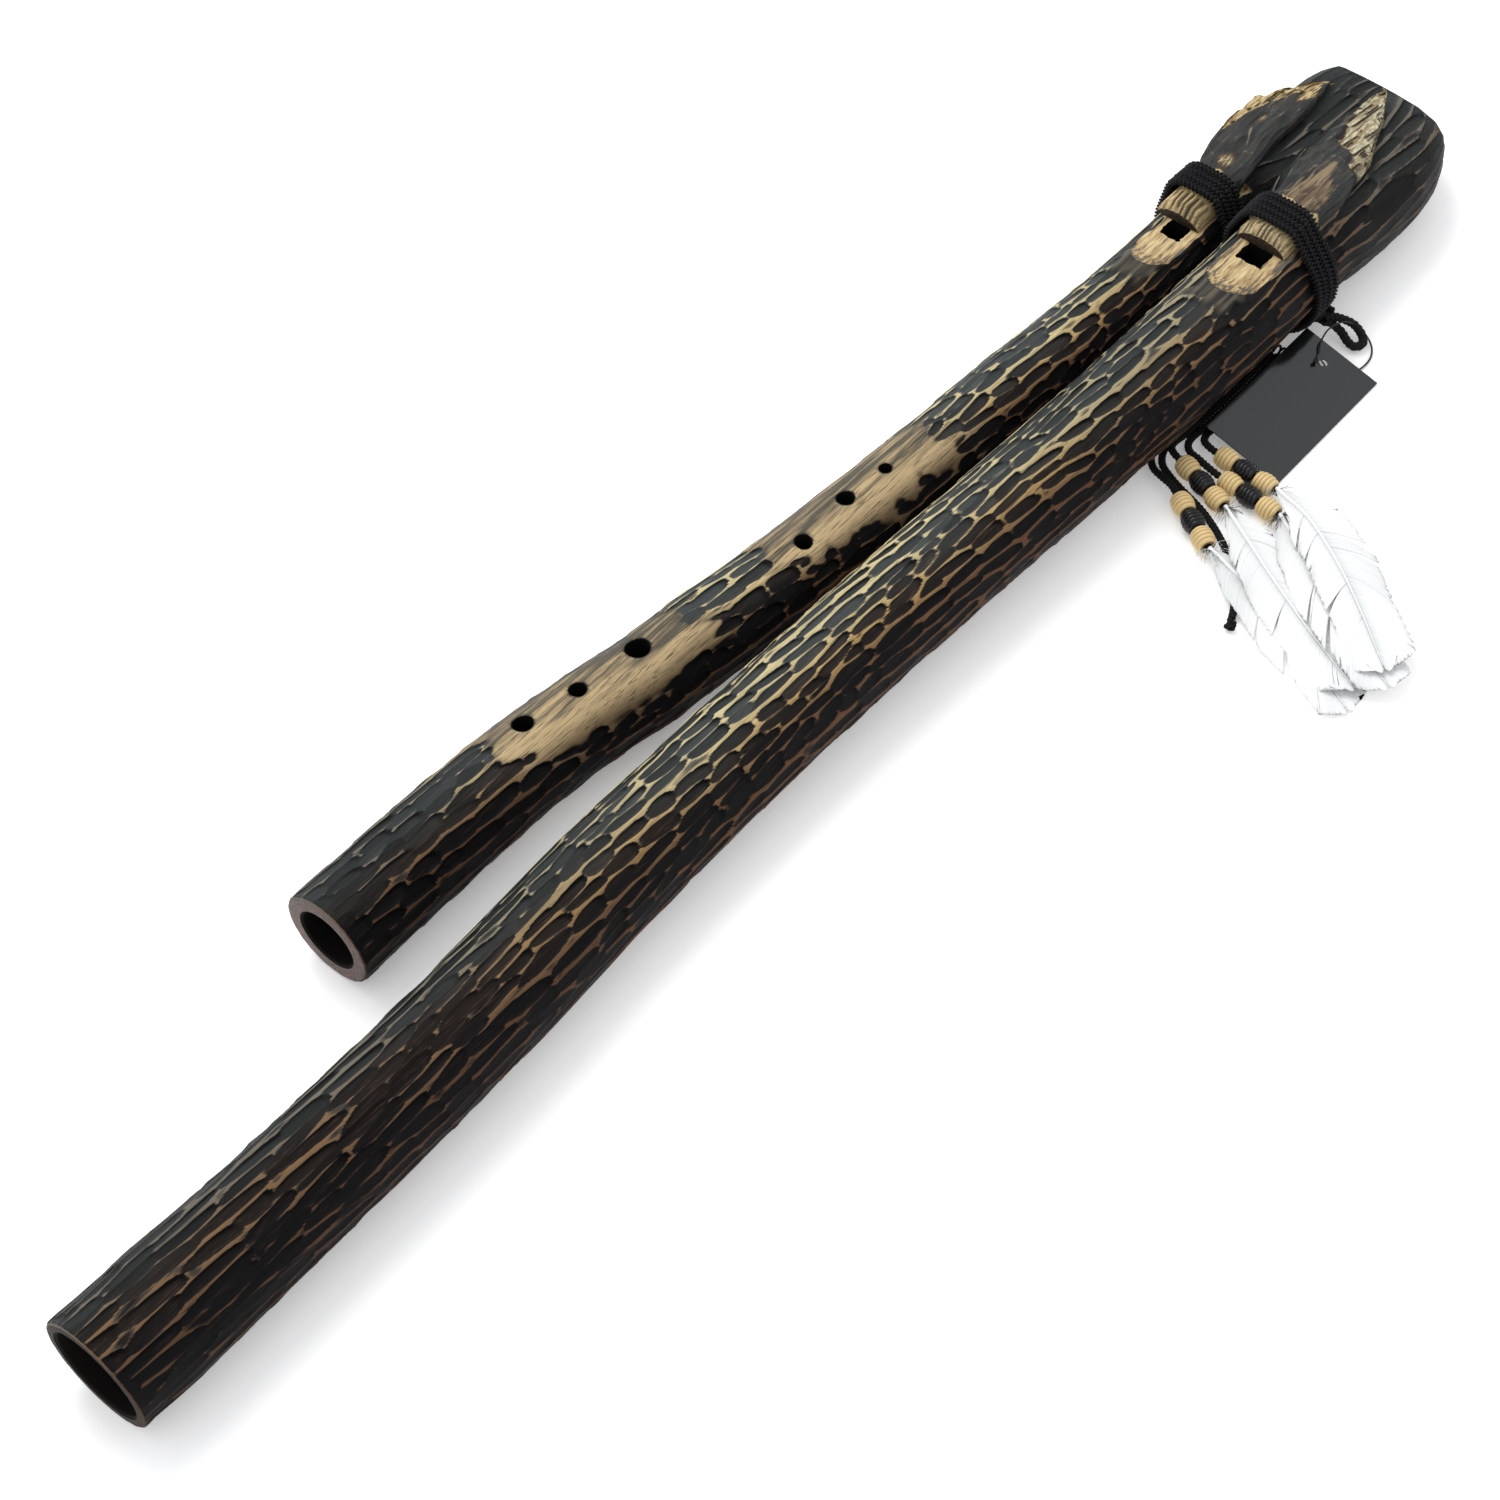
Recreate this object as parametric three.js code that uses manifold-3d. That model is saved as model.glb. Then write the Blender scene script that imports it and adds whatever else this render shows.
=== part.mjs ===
// Double flute: two hollowed branches joined at the head, with tied blocks, a lace tassel
// of beads and feathers, and a bare hang tag.
// Millimetres, +X from the feet to the mouth end, +Y towards the melody barrel, +Z up.
import * as THREE from 'three';
import { mergeVertices } from 'three/addons/utils/BufferGeometryUtils.js';
import Module from 'manifold-3d';

const wasm = await Module();
wasm.setup();

// Fits and facets
const fit = 0.3;
const overrun = 8;
const barrelSides = 20;
const boreSides = 12;

// Both barrels
const headLength = 161;
const glueLine = 18.45;
const partingLead = 76;
const partingSpread = 29.5;
const airWall = 13;
const airEndWall = 24;
const flueDepth = 1.2;
const nestLead = 14;
const nestRamp = 15;
const nestRampRise = 5;
const blowRadius = 3.5;
const blowHeight = 22.5;

// Drone barrel, from its foot to its window and on to the mouth end
const droneSounding = 676;
const droneRadius = 24.6;
const droneFootBore = 19.4;
const droneTopBore = 18.2;
const droneWindowLength = 12.5;
const droneWindowWidth = 12.6;
const droneWindowAside = 1.8;
const droneNestHeight = 50.2;
const droneAirRadius = 13;
const droneAirHeight = 25.5;
const droneBlowPlace = 10;

// Melody barrel, shorter, with its window a little further up
const melodySounding = 501.5;
const melodyWindowStagger = 3.5;
const melodyRadius = 21.15;
const melodyFootAside = 67.5;
const melodyFootBore = 13.2;
const melodyTopBore = 11.8;
const melodyWindowLength = 11.5;
const melodyWindowWidth = 10.4;
const melodyWindowAside = 0.6;
const melodyNestHeight = 36.8;
const melodyNestBack = 48.5;
const melodyAirRadius = 10.5;
const melodyAirHeight = 22.3;
const melodyBlowPlace = 28;

// Laced ties over the blocks
const tieWidth = 17;
const tieThickness = 3.8;
const tieNotch = 4.7;
const tieNotchPlay = 2;
const droneTiePlace = 16;
const melodyTiePlace = 20.5;
const knotLong = 10;
const knotHigh = 7.4;

// Blocks
const droneBlockWidth = 25.4;
const droneBlockHeight = 9.4;
const droneBlockLength = 128;
const droneBlockLead = 11;
const droneBlockAside = 2.7;
const melodyBlockWidth = 22.6;
const melodyBlockHeight = 9.8;
const melodyBlockLength = 118.5;
const melodyBlockLead = 10.2;
const melodyBlockAside = 3;

// Hang tag
const tagLength = 78.5;
const tagWidth = 40.2;
const tagThickness = 0.6;
const tagHole = 2;
const tagHoleInset = 10;
const tagHoleAside = 23.6;
const tagTilt = THREE.MathUtils.degToRad(13.5);
const tagCorner = new THREE.Vector3(618.6, -68.5, 0);

// Cords, beads and feathers
const strandRadius = 1.5;
const stringRadius = 0.5;
const cordSides = 8;
const beadRadius = 5.1;
const beadLength = 9.8;
const beadHole = 2;
const beadPitch = 10.4;
const beadEnd = 8;
const beadsPerStrand = 3;
const featherLength = 106;
const featherWidth = 28;
const featherThickness = 0.5;
const featherCamber = 1.2;
const tasselKnotRadius = 2.5;
const tasselKnotLength = 16.4;
const stringKnotRadius = 1.3;
const laceKnotRadius = 2.8;

// Drone sections from foot to window: along the sounding length, sway, girth, lift
const droneRunShares = [
  [0.000, 0.012, 1.000, 0.00], [0.044, -0.024, 1.012, 0.00], [0.104, -0.037, 0.976, 0.02],
  [0.192, -0.045, 0.965, 0.11], [0.296, 0.012, 0.963, 0.23], [0.399, 0.146, 0.955, 0.34],
  [0.503, 0.171, 0.943, 0.45], [0.607, 0.122, 0.947, 0.57], [0.710, 0.004, 0.951, 0.68],
  [0.814, -0.138, 0.965, 0.80], [0.917, -0.244, 1.004, 0.91],
];

// Drone sections from window to mouth end: along the head, sway, width, height, lift, squareness
const droneHeadShares = [
  [0.000, -0.285, 1.024, 1.024, 1.00, 2.0], [0.286, -0.285, 1.024, 1.024, 1.00, 2.0],
  [0.366, -0.203, 1.138, 0.976, 1.01, 2.3], [0.460, -0.081, 1.260, 0.919, 1.01, 2.7],
  [0.547, 0.000, 1.341, 0.898, 1.01, 3.0], [0.652, 0.020, 1.346, 0.878, 1.01, 3.0],
  [0.745, 0.061, 1.305, 0.846, 1.06, 3.0], [0.826, 0.142, 1.220, 0.801, 1.21, 3.0],
  [0.894, 0.264, 1.098, 0.736, 1.45, 3.0], [0.950, 0.427, 0.915, 0.650, 1.85, 3.0],
  [0.981, 0.569, 0.732, 0.549, 2.34, 3.0], [1.000, 0.711, 0.589, 0.427, 2.96, 3.0],
];

// Melody sections, in the same two tables; its sway is a share of how far aside its foot lies
const melodyRunShares = [
  [0.000, 1.000, 1.000, 0.00], [0.124, 1.001, 0.993, 0.00], [0.211, 0.987, 0.965, 0.10],
  [0.253, 0.960, 0.946, 0.15], [0.297, 0.916, 0.946, 0.20], [0.339, 0.859, 0.950, 0.25],
  [0.393, 0.819, 0.946, 0.31], [0.483, 0.738, 0.931, 0.41], [0.582, 0.679, 0.917, 0.53],
  [0.682, 0.634, 0.903, 0.64], [0.782, 0.609, 0.889, 0.75], [0.881, 0.566, 0.875, 0.87],
];
const melodyHeadShares = [
  [0.000, 0.545, 0.856, 0.856, 1.00, 2.0], [0.270, 0.545, 0.856, 0.856, 1.00, 2.0],
  [0.352, 0.519, 0.946, 0.898, 1.03, 2.3], [0.448, 0.459, 1.135, 0.908, 1.03, 2.7],
  [0.537, 0.444, 1.182, 0.903, 1.03, 3.0], [0.644, 0.443, 1.177, 0.889, 1.03, 3.0],
  [0.740, 0.440, 1.173, 0.865, 1.08, 3.0], [0.822, 0.437, 1.158, 0.832, 1.23, 3.0],
  [0.892, 0.430, 1.125, 0.780, 1.48, 3.0], [0.949, 0.407, 1.040, 0.700, 1.85, 3.0],
  [0.981, 0.378, 0.922, 0.605, 2.34, 3.0], [1.000, 0.348, 0.804, 0.473, 2.96, 3.0],
];

// Finger holes: place along the melody's sounding length, offset and radius of its foot radius
const fingerHoleShares = [
  [0.2262, 0.199, 0.213], [0.2787, 0.095, 0.180], [0.3400, 0.142, 0.253],
  [0.5105, -0.118, 0.180], [0.5695, 0.076, 0.192], [0.6165, 0.043, 0.137],
];

// Block sections: along, low side, high side, top, underside drop (all shares of the block)
const droneBlockShares = [
  [0.000, -0.98, 0.92, 0.62, 0], [0.027, -1, 1, 1, 0], [0.195, -1, 1, 1, 0],
  [0.340, -1.08, 1.12, 0.97, 0], [0.435, -0.90, 1.36, 0.93, 0], [0.600, -0.64, 1.42, 0.72, 0.10],
  [0.735, -0.04, 1.40, 0.48, 0.26], [0.850, 0.40, 1.44, 0.24, 0.41],
  [0.950, 0.96, 1.44, -0.06, 0.55], [1.000, 1.18, 1.36, -0.30, 0.60],
];
const melodyBlockShares = [
  [0.000, -0.98, 0.98, 0.56, 0], [0.027, -1, 1, 1, 0], [0.264, -1, 1, 1, 0],
  [0.292, -1.06, 1.10, 1.02, -0.63], [0.384, -0.96, 1.34, 1.12, -0.66],
  [0.510, -0.72, 1.38, 1.34, -0.66], [0.630, -0.64, 1.36, 1.34, -0.66],
  [0.770, -0.42, 1.00, 1.14, -0.62], [0.865, -0.24, 0.72, 0.98, -0.55],
  [1.000, -0.10, 0.10, 0.62, -0.42],
];
const blockOutlineShares = [
  [-1, 0], [1, 0], [1, 0.55], [0.82, 0.86], [0.42, 1], [-0.42, 1], [-0.82, 0.86], [-1, 0.55],
];

// Bead and feather profiles
const beadProfileShares = [
  [0.60, -1], [0.93, -0.66], [0.84, -0.34], [1, 0], [0.84, 0.34], [0.93, 0.66], [0.60, 1],
];
const featherWidthShares = [
  [0, 0.05], [0.14, 0.07], [0.24, 0.60], [0.42, 1], [0.66, 0.98], [0.86, 0.74], [1, 0.16],
];

const featherRiseShares = [0, 0.22, 0.5, 1];
const featherPlans = {
  a: { heading: 238, reachShare: 1.02, crestShare: 0.1434, tipShare: 0.0887 },
  b: { heading: 244.3, reachShare: 1.02, crestShare: 0.0774, tipShare: 0.0406 },
  c: { heading: 250.4, reachShare: 0.93, crestShare: 0.0491, tipShare: 0.0132 },
  d: { heading: 240.2, reachShare: 0.96, crestShare: 0.1057, tipShare: 0.0642 },
};

// Cord steps along their length, in diameters, and cord routes on the table, point by point
const loopStepShare = 1.5;
const strandStepShare = 2.5;
const stringStepShare = 3;
const strandRoutes = {
  a: [[681.2, -29.2, 1.8], [662, -30, 1.8], [642, -30, 1.8], [625, -29.4, 2.4], [620, -29.6, 3.2],
    [615.4, -31.7, 4.4], [613.1, -36.6, 5.1], [612.6, -40.1, 5.15], [611.5, -56, 5.15],
    [610.3, -74.4, 5.15]],
  b: [[681.2, -22.4, 1.8], [662, -22.9, 1.8], [642, -23, 1.8], [625, -22.4, 1.8], [614, -21.9, 2.4],
    [607, -21.6, 3.4], [603, -22.9, 4.4], [600.4, -26.3, 5.1], [599, -30.4, 5.15],
    [593.8, -45.4, 5.15], [587.8, -62.9, 5.15]],
  c: [[681.2, -15.6, 1.8], [662, -15.9, 1.8], [642, -16, 1.8], [625, -15.4, 1.8], [606, -15.6, 1.8],
    [596, -17.6, 2], [589.5, -23, 3], [586.5, -30, 4.2], [584.6, -35.9, 5], [581.4, -41.3, 5.15],
    [573.3, -55, 5.15], [563.9, -70.8, 5.15]],
  d: [[681.2, -25.8, 1.8], [662, -26.4, 1.8], [642, -26.5, 1.8], [625, -25.9, 1.8],
    [616, -25.4, 2.2], [610.5, -26.7, 3.2], [606.4, -30.4, 4.2], [604.9, -35.5, 4.9],
    [603.4, -41, 5.1], [602, -48.8, 5.15], [600.7, -64.8, 5.15], [599.2, -83.6, 5.15]],
};
const laceEndRoute = [
  [681.2, -19, 1.8], [662, -19.4, 1.8], [642, -19.5, 1.8], [625, -18.9, 1.8], [608, -19, 1.8],
  [600, -20.8, 1.8], [594.5, -24.5, 1.8], [591, -31, 1.8], [588.2, -38.5, 1.8], [586, -46, 1.8],
  [583, -54.5, 1.8], [577.5, -65, 1.8], [569, -77, 1.8], [557, -88, 1.8], [546.5, -94.8, 1.8],
  [542.2, -96.8, 1.8],
];
const laceLoopRoute = [
  [705.8, -38.3, 8.6], [709.6, -41.2, 7.6], [712.3, -45.3, 5.2], [712.6, -49.2, 3],
  [710.2, -52, 2], [707.2, -51, 1.9], [705.9, -47.3, 2.8], [704.9, -43.2, 4.8], [702.9, -39, 6.8],
];
const tagStringRoute = [
  [686, -42.4, 8.4], [689.5, -41.5, 8.6], [693, -39.5, 9.6], [698.5, -38.6, 12.2],
  [704.5, -39.3, 12.4], [711, -41.5, 10.6], [716.3, -45.8, 5.2], [717, -50, 2],
  [714, -54.5, 0.9], [708, -57.8, 0.8], [700, -58.2, 0.8], [692.5, -55.5, 0.9],
  [689, -51, 1.6], [687.6, -47.2, 3.4], [687.1, -45.6, 5.8], [686.2, -44.6, 7.8],
];
const tasselKnotPlace = new THREE.Vector3(684, -22.2, 2.8);
const laceKnotPlace = new THREE.Vector3(538.4, -98.6, 2.9);
const stringKnotPlace = new THREE.Vector3(684, -43.2, 8.5);

// Colours and finishes
const wood = { color: 0x2b2925, roughness: 0.62, metalness: 0 };
const barkWood = { color: 0x6b5436, roughness: 0.7, metalness: 0 };
const lace = { color: 0x101012, roughness: 0.85, metalness: 0 };
const tanBead = { color: 0xcaa76a, roughness: 0.45, metalness: 0 };
const blackBead = { color: 0x0c0c0d, roughness: 0.25, metalness: 0 };
const featherWhite = { color: 0xf2f2ef, roughness: 0.8, metalness: 0 };
const tagBlack = { color: 0x1b1d1f, roughness: 0.2, metalness: 0 };

const flute = new THREE.Group();
flute.name = 'double_flute';
const heldPieces = [];

function addPiece(name, geometry, finish, { free = false } = {}) {
  const mesh = new THREE.Mesh(geometry, new THREE.MeshStandardMaterial(finish));
  mesh.name = name;
  flute.add(mesh);
  if (!free) heldPieces.push(mesh);
  return mesh;
}

// Solids for joining and cutting

function solid(geometry) {
  geometry.deleteAttribute('normal');
  geometry.deleteAttribute('uv');
  const merged = mergeVertices(geometry);
  return new wasm.Manifold(new wasm.Mesh({
    numProp: 3,
    vertProperties: new Float32Array(merged.attributes.position.array),
    triVerts: new Uint32Array(merged.index.array),
  }));
}

function toGeometry(body) {
  const mesh = body.getMesh();
  const geometry = new THREE.BufferGeometry();
  geometry.setAttribute('position', new THREE.BufferAttribute(mesh.vertProperties, 3));
  geometry.setIndex(new THREE.BufferAttribute(mesh.triVerts, 1));
  geometry.computeVertexNormals();
  return geometry;
}

function slab(low, high) {
  const size = new THREE.Vector3().subVectors(high, low);
  const middle = new THREE.Vector3().addVectors(low, high).multiplyScalar(0.5);
  return new THREE.BoxGeometry(...size).translate(...middle);
}

function rod(from, to, radius, sides) {
  const along = new THREE.Vector3().subVectors(to, from);
  const turn = new THREE.Quaternion().setFromUnitVectors(
    new THREE.Vector3(0, 1, 0), along.clone().normalize());
  const middle = new THREE.Vector3().addVectors(from, to).multiplyScalar(0.5);
  return new THREE.CylinderGeometry(radius, radius, along.length(), sides)
    .applyQuaternion(turn).translate(...middle);
}

// A skin through rings of points: a cylinder whose corners are moved onto the sections
function loft(sections) {
  const sides = sections[0].length;
  const skin = new THREE.CylinderGeometry(1, 1, 1, sides, sections.length - 1);
  const at = skin.attributes.position;
  for (let i = 0; i < at.count; i++) {
    const section = sections[Math.round((at.getY(i) + 0.5) * (sections.length - 1))];
    const corner = Math.round(Math.atan2(at.getX(i), at.getZ(i)) * sides / (2 * Math.PI));
    const onAxis = Math.hypot(at.getX(i), at.getZ(i)) < 0.5;
    const point = onAxis ? middleOf(section) : section[(corner + sides) % sides];
    at.setXYZ(i, ...point);
  }
  return skin;
}

function middleOf(points) {
  const sum = points.reduce((total, point) => total.add(point), new THREE.Vector3());
  return sum.divideScalar(points.length);
}

// Branch rings

const flat = Math.cos(Math.PI / barrelSides);
const tieLift = (fit + tieThickness) * flat;

function ring(x, y, wide, tall, lift, square) {
  return { x, y, wide, tall, square, z: tieLift * lift + tall * flat ** (2 / square) };
}

function ringPoints({ x, y, z, wide, tall, square }, sides) {
  return Array.from({ length: sides }, (_, k) => {
    const turn = (k + 0.5) * 2 * Math.PI / sides;
    const across = Math.cos(turn);
    const up = Math.sin(turn);
    return new THREE.Vector3(
      x,
      y + wide * Math.sign(across) * Math.abs(across) ** (2 / square),
      z + tall * Math.sign(up) * Math.abs(up) ** (2 / square));
  });
}

function ringAt(rings, x) {
  const next = Math.max(1, rings.findIndex((r) => r.x >= x));
  const [a, b] = [rings[next - 1], rings[next]];
  const share = (x - a.x) / (b.x - a.x);
  const blend = (key) => a[key] + (b[key] - a[key]) * share;
  return { x, y: blend('y'), z: blend('z'), wide: blend('wide'), tall: blend('tall'), square: 2 };
}

const droneWindow = droneSounding;
const melodyWindow = droneSounding + melodyWindowStagger;
const melodyFoot = melodyWindow - melodySounding;
const mouthEnd = droneSounding + headLength;

const droneRings = [
  ...droneRunShares.map(([along, sway, girth, lift]) => ring(
    along * droneSounding, sway * droneRadius, girth * droneRadius, girth * droneRadius, lift, 2)),
  ...droneHeadShares.map(([along, sway, wide, tall, lift, square]) => ring(
    droneWindow + along * headLength, sway * droneRadius, wide * droneRadius,
    tall * droneRadius, lift, square)),
];
const melodyHead = mouthEnd - melodyWindow;
const melodyRings = [
  ...melodyRunShares.map(([along, sway, girth, lift]) => ring(
    melodyFoot + along * melodySounding, sway * melodyFootAside, girth * melodyRadius,
    girth * melodyRadius, lift, 2)),
  ...melodyHeadShares.map(([along, sway, wide, tall, lift, square]) => ring(
    melodyWindow + along * melodyHead, sway * melodyFootAside, wide * melodyRadius,
    tall * melodyRadius, lift, square)),
];

// What is cut from a barrel: bore, window, flue, air chamber, blow hole, nest and tie notch

function boreCutter(rings, end, footBore, topBore) {
  const foot = rings[0].x;
  const places = [foot - overrun, ...rings.map((r) => r.x).filter((x) => x > foot && x < end), end];
  const sections = places.map((x) => {
    const here = ringAt(rings, Math.max(x, foot));
    const radius = THREE.MathUtils.lerp(footBore, topBore, Math.max(0, x - foot) / (end - foot));
    return ringPoints({ ...here, x, wide: radius, tall: radius, square: 2 }, boreSides);
  });
  return loft(sections);
}

function nestCutter(window, height, back, side) {
  const top = height + 2 * overrun;
  const profile = new THREE.Shape([
    new THREE.Vector2(window - nestLead - 2 * nestRamp, top),
    new THREE.Vector2(window - nestLead - nestRamp, height + nestRampRise),
    new THREE.Vector2(window - nestLead, height),
    new THREE.Vector2(back, height),
    new THREE.Vector2(back, top),
  ]);
  return new THREE.ExtrudeGeometry(profile, { depth: 2 * side, bevelEnabled: false })
    .rotateX(Math.PI / 2).translate(0, side, 0);
}

function windowCutters(rings, spec) {
  const { window, length, width, aside, nest, airRadius, airHeight, blowPlace } = spec;
  const here = ringAt(rings, window);
  const centre = here.y + aside;
  const windowEnd = window + length;
  const airStart = windowEnd + airWall;
  const exitEnd = airStart + length / 2;
  const airEnd = mouthEnd - airEndWall;
  const blowStart = new THREE.Vector3(airEnd - airRadius, here.y, airHeight);
  const blowLip = new THREE.Vector3(mouthEnd, blowPlace, blowHeight);
  const beyondLip = new THREE.Vector3().subVectors(blowLip, blowStart).setLength(overrun).add(blowLip);
  return [
    slab(new THREE.Vector3(window, centre - width / 2, here.z),
      new THREE.Vector3(windowEnd, centre + width / 2, nest + overrun)),
    slab(new THREE.Vector3(windowEnd - fit, centre - width / 2, nest - flueDepth),
      new THREE.Vector3(exitEnd, centre + width / 2, nest + overrun)),
    slab(new THREE.Vector3(airStart, centre - width / 2, airHeight),
      new THREE.Vector3(exitEnd, centre + width / 2, nest + overrun)),
    rod(new THREE.Vector3(airStart, here.y, airHeight),
      new THREE.Vector3(airEnd, here.y, airHeight), airRadius, boreSides),
    rod(blowStart, beyondLip, blowRadius, boreSides),
  ];
}

function cut(body, cutters) {
  return cutters.reduce((left, cutter) => left.subtract(solid(cutter)), body);
}

function halves(body, seam) {
  const reach = 2 * (droneSounding + headLength);
  const below = slab(new THREE.Vector3(-reach, -reach, -reach), new THREE.Vector3(reach, reach, seam));
  const above = slab(new THREE.Vector3(-reach, -reach, seam), new THREE.Vector3(reach, reach, reach));
  return { upper: body.subtract(solid(below)), lower: body.subtract(solid(above)) };
}

// The parting between the barrels: the glue face, and a plane that leans away towards the feet
const droneTie = droneWindow + droneTiePlace;
const melodyTie = melodyWindow + melodyTiePlace;
const farSide = 4 * (droneRadius + melodyRadius);

function partingCutter(side) {
  const far = glueLine + side * farSide;
  const outline = new THREE.Shape([
    new THREE.Vector2(-overrun, glueLine + partingSpread),
    new THREE.Vector2(droneWindow - partingLead, glueLine),
    new THREE.Vector2(mouthEnd + overrun, glueLine),
    new THREE.Vector2(mouthEnd + overrun, far),
    new THREE.Vector2(-overrun, far),
  ]);
  return new THREE.ExtrudeGeometry(outline, { depth: farSide + overrun, bevelEnabled: false })
    .translate(0, 0, -overrun);
}

// Drone barrel
const droneBody = cut(solid(loft(droneRings.map((r) => ringPoints(r, barrelSides)))), [
  boreCutter(droneRings, droneWindow + droneWindowLength, droneFootBore, droneTopBore),
  nestCutter(droneWindow, droneNestHeight, mouthEnd + overrun, farSide),
  ...windowCutters(droneRings, {
    window: droneWindow, length: droneWindowLength, width: droneWindowWidth,
    aside: droneWindowAside, nest: droneNestHeight, airRadius: droneAirRadius,
    airHeight: droneAirHeight, blowPlace: droneBlowPlace,
  }),
  partingCutter(1),
  slab(new THREE.Vector3(droneTie - tieNotchPlay, glueLine - tieNotch, -overrun),
    new THREE.Vector3(droneTie + tieWidth + tieNotchPlay, glueLine + overrun, farSide)),
]);
const droneSeam = droneRadius * flat;
const droneHalves = halves(droneBody, droneSeam);
addPiece('drone_barrel_upper', toGeometry(droneHalves.upper), wood);
addPiece('drone_barrel_lower', toGeometry(droneHalves.lower), wood);

// Melody barrel, with six finger holes burnt through its top
function fingerHole([along, aside, radius]) {
  const here = ringAt(melodyRings, melodyFoot + along * melodySounding);
  const y = here.y + aside * melodyRadius;
  return rod(new THREE.Vector3(here.x, y, here.z),
    new THREE.Vector3(here.x, y, here.z + here.tall + overrun), radius * melodyRadius, boreSides);
}

const melodyBody = cut(solid(loft(melodyRings.map((r) => ringPoints(r, barrelSides)))), [
  boreCutter(melodyRings, melodyWindow + melodyWindowLength, melodyFootBore, melodyTopBore),
  nestCutter(melodyWindow, melodyNestHeight, melodyWindow + melodyNestBack, farSide),
  ...windowCutters(melodyRings, {
    window: melodyWindow, length: melodyWindowLength, width: melodyWindowWidth,
    aside: melodyWindowAside, nest: melodyNestHeight, airRadius: melodyAirRadius,
    airHeight: melodyAirHeight, blowPlace: melodyBlowPlace,
  }),
  partingCutter(-1),
  slab(new THREE.Vector3(melodyTie - tieNotchPlay, glueLine - overrun, -overrun),
    new THREE.Vector3(melodyTie + tieWidth + tieNotchPlay, glueLine + tieNotch, farSide)),
  ...fingerHoleShares.map(fingerHole),
]);
const melodySeam = melodyRadius * flat;
const melodyHalves = halves(melodyBody, melodySeam);
addPiece('melody_barrel_upper', toGeometry(melodyHalves.upper), wood);
addPiece('melody_barrel_lower', toGeometry(melodyHalves.lower), wood);

// Blocks: flat underneath, arched on top, with a long raw tail over the head

function blockPoints(shares, { start, length, width, height, centre, nest }) {
  return shares.map(([along, low, high, top, drop]) => {
    const bottom = nest + fit - drop * height;
    const crown = nest + fit + top * height;
    const middle = centre + (low + high) * width / 4;
    const half = (high - low) * width / 4;
    return blockOutlineShares.map(([across, up]) => new THREE.Vector3(
      start + along * length, middle + across * half, bottom + up * (crown - bottom)));
  });
}

const droneBlock = {
  start: droneWindow + droneBlockLead, length: droneBlockLength, width: droneBlockWidth,
  height: droneBlockHeight, nest: droneNestHeight,
  centre: ringAt(droneRings, droneTie).y + droneBlockAside,
};
const melodyBlock = {
  start: melodyWindow + melodyBlockLead, length: melodyBlockLength, width: melodyBlockWidth,
  height: melodyBlockHeight, nest: melodyNestHeight,
  centre: ringAt(melodyRings, melodyTie).y + melodyBlockAside,
};
addPiece('drone_block', loft(blockPoints(droneBlockShares, droneBlock)), barkWood);
addPiece('melody_block', loft(blockPoints(melodyBlockShares, melodyBlock)), barkWood);

// Ties: a lace band wound round barrel and block, down through the notch between the barrels

function hullOf(points) {
  const sorted = [...points].sort((a, b) => a.x - b.x || a.y - b.y);
  const turn = (o, a, b) => (a.x - o.x) * (b.y - o.y) - (a.y - o.y) * (b.x - o.x);
  const chain = (list) => list.reduce((path, point) => {
    while (path.length > 1 && turn(path.at(-2), path.at(-1), point) <= 0) path.pop();
    return [...path, point];
  }, []);
  return [...chain(sorted).slice(0, -1), ...chain(sorted.reverse()).slice(0, -1)];
}

// Keeps the side of an outline that lies short of a wall; side is 1 or -1
function clipAt(outline, wall, side) {
  const inside = (p) => (wall - p.x) * side >= 0;
  return outline.flatMap((point, i) => {
    const next = outline[(i + 1) % outline.length];
    const kept = inside(point) ? [point] : [];
    if (inside(point) === inside(next)) return kept;
    const share = (wall - point.x) / (next.x - point.x);
    return [...kept, point.clone().lerp(next, share)];
  });
}

function wrapOutline(here, block, side, grow) {
  const round = ringPoints({ ...here, wide: here.wide + grow, tall: here.tall + grow }, barrelSides);
  const corners = Array.from({ length: cordSides }, (_, k) => k);
  const crown = blockOutlineShares.flatMap(([across, up]) => corners.map((k) => {
    const turn = (k + 0.5) * 2 * Math.PI / cordSides;
    const reach = grow / Math.cos(Math.PI / cordSides);
    return new THREE.Vector2(
      block.centre + across * block.width / 2 + reach * Math.cos(turn),
      block.nest + fit + up * block.height + reach * Math.sin(turn));
  }));
  const hull = hullOf([...round.map((p) => new THREE.Vector2(p.y, p.z)), ...crown]);
  return clipAt(hull, glueLine - side * tieNotch + side * grow, side);
}

function tieBand(rings, start, block, side) {
  const here = ringAt(rings, start + tieWidth / 2);
  const band = new THREE.Shape(wrapOutline(here, block, side, fit + tieThickness));
  band.holes.push(new THREE.Path(wrapOutline(here, block, side, fit)));
  const acrossToX = new THREE.Matrix4().makeBasis(
    new THREE.Vector3(0, 1, 0), new THREE.Vector3(0, 0, 1), new THREE.Vector3(1, 0, 0));
  return new THREE.ExtrudeGeometry(band, { depth: tieWidth, bevelEnabled: false })
    .applyMatrix4(acrossToX).translate(start, 0, 0);
}

addPiece('drone_tie', tieBand(droneRings, droneTie, droneBlock, 1), lace);
addPiece('melody_tie', tieBand(melodyRings, melodyTie, melodyBlock, -1), lace);

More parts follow.
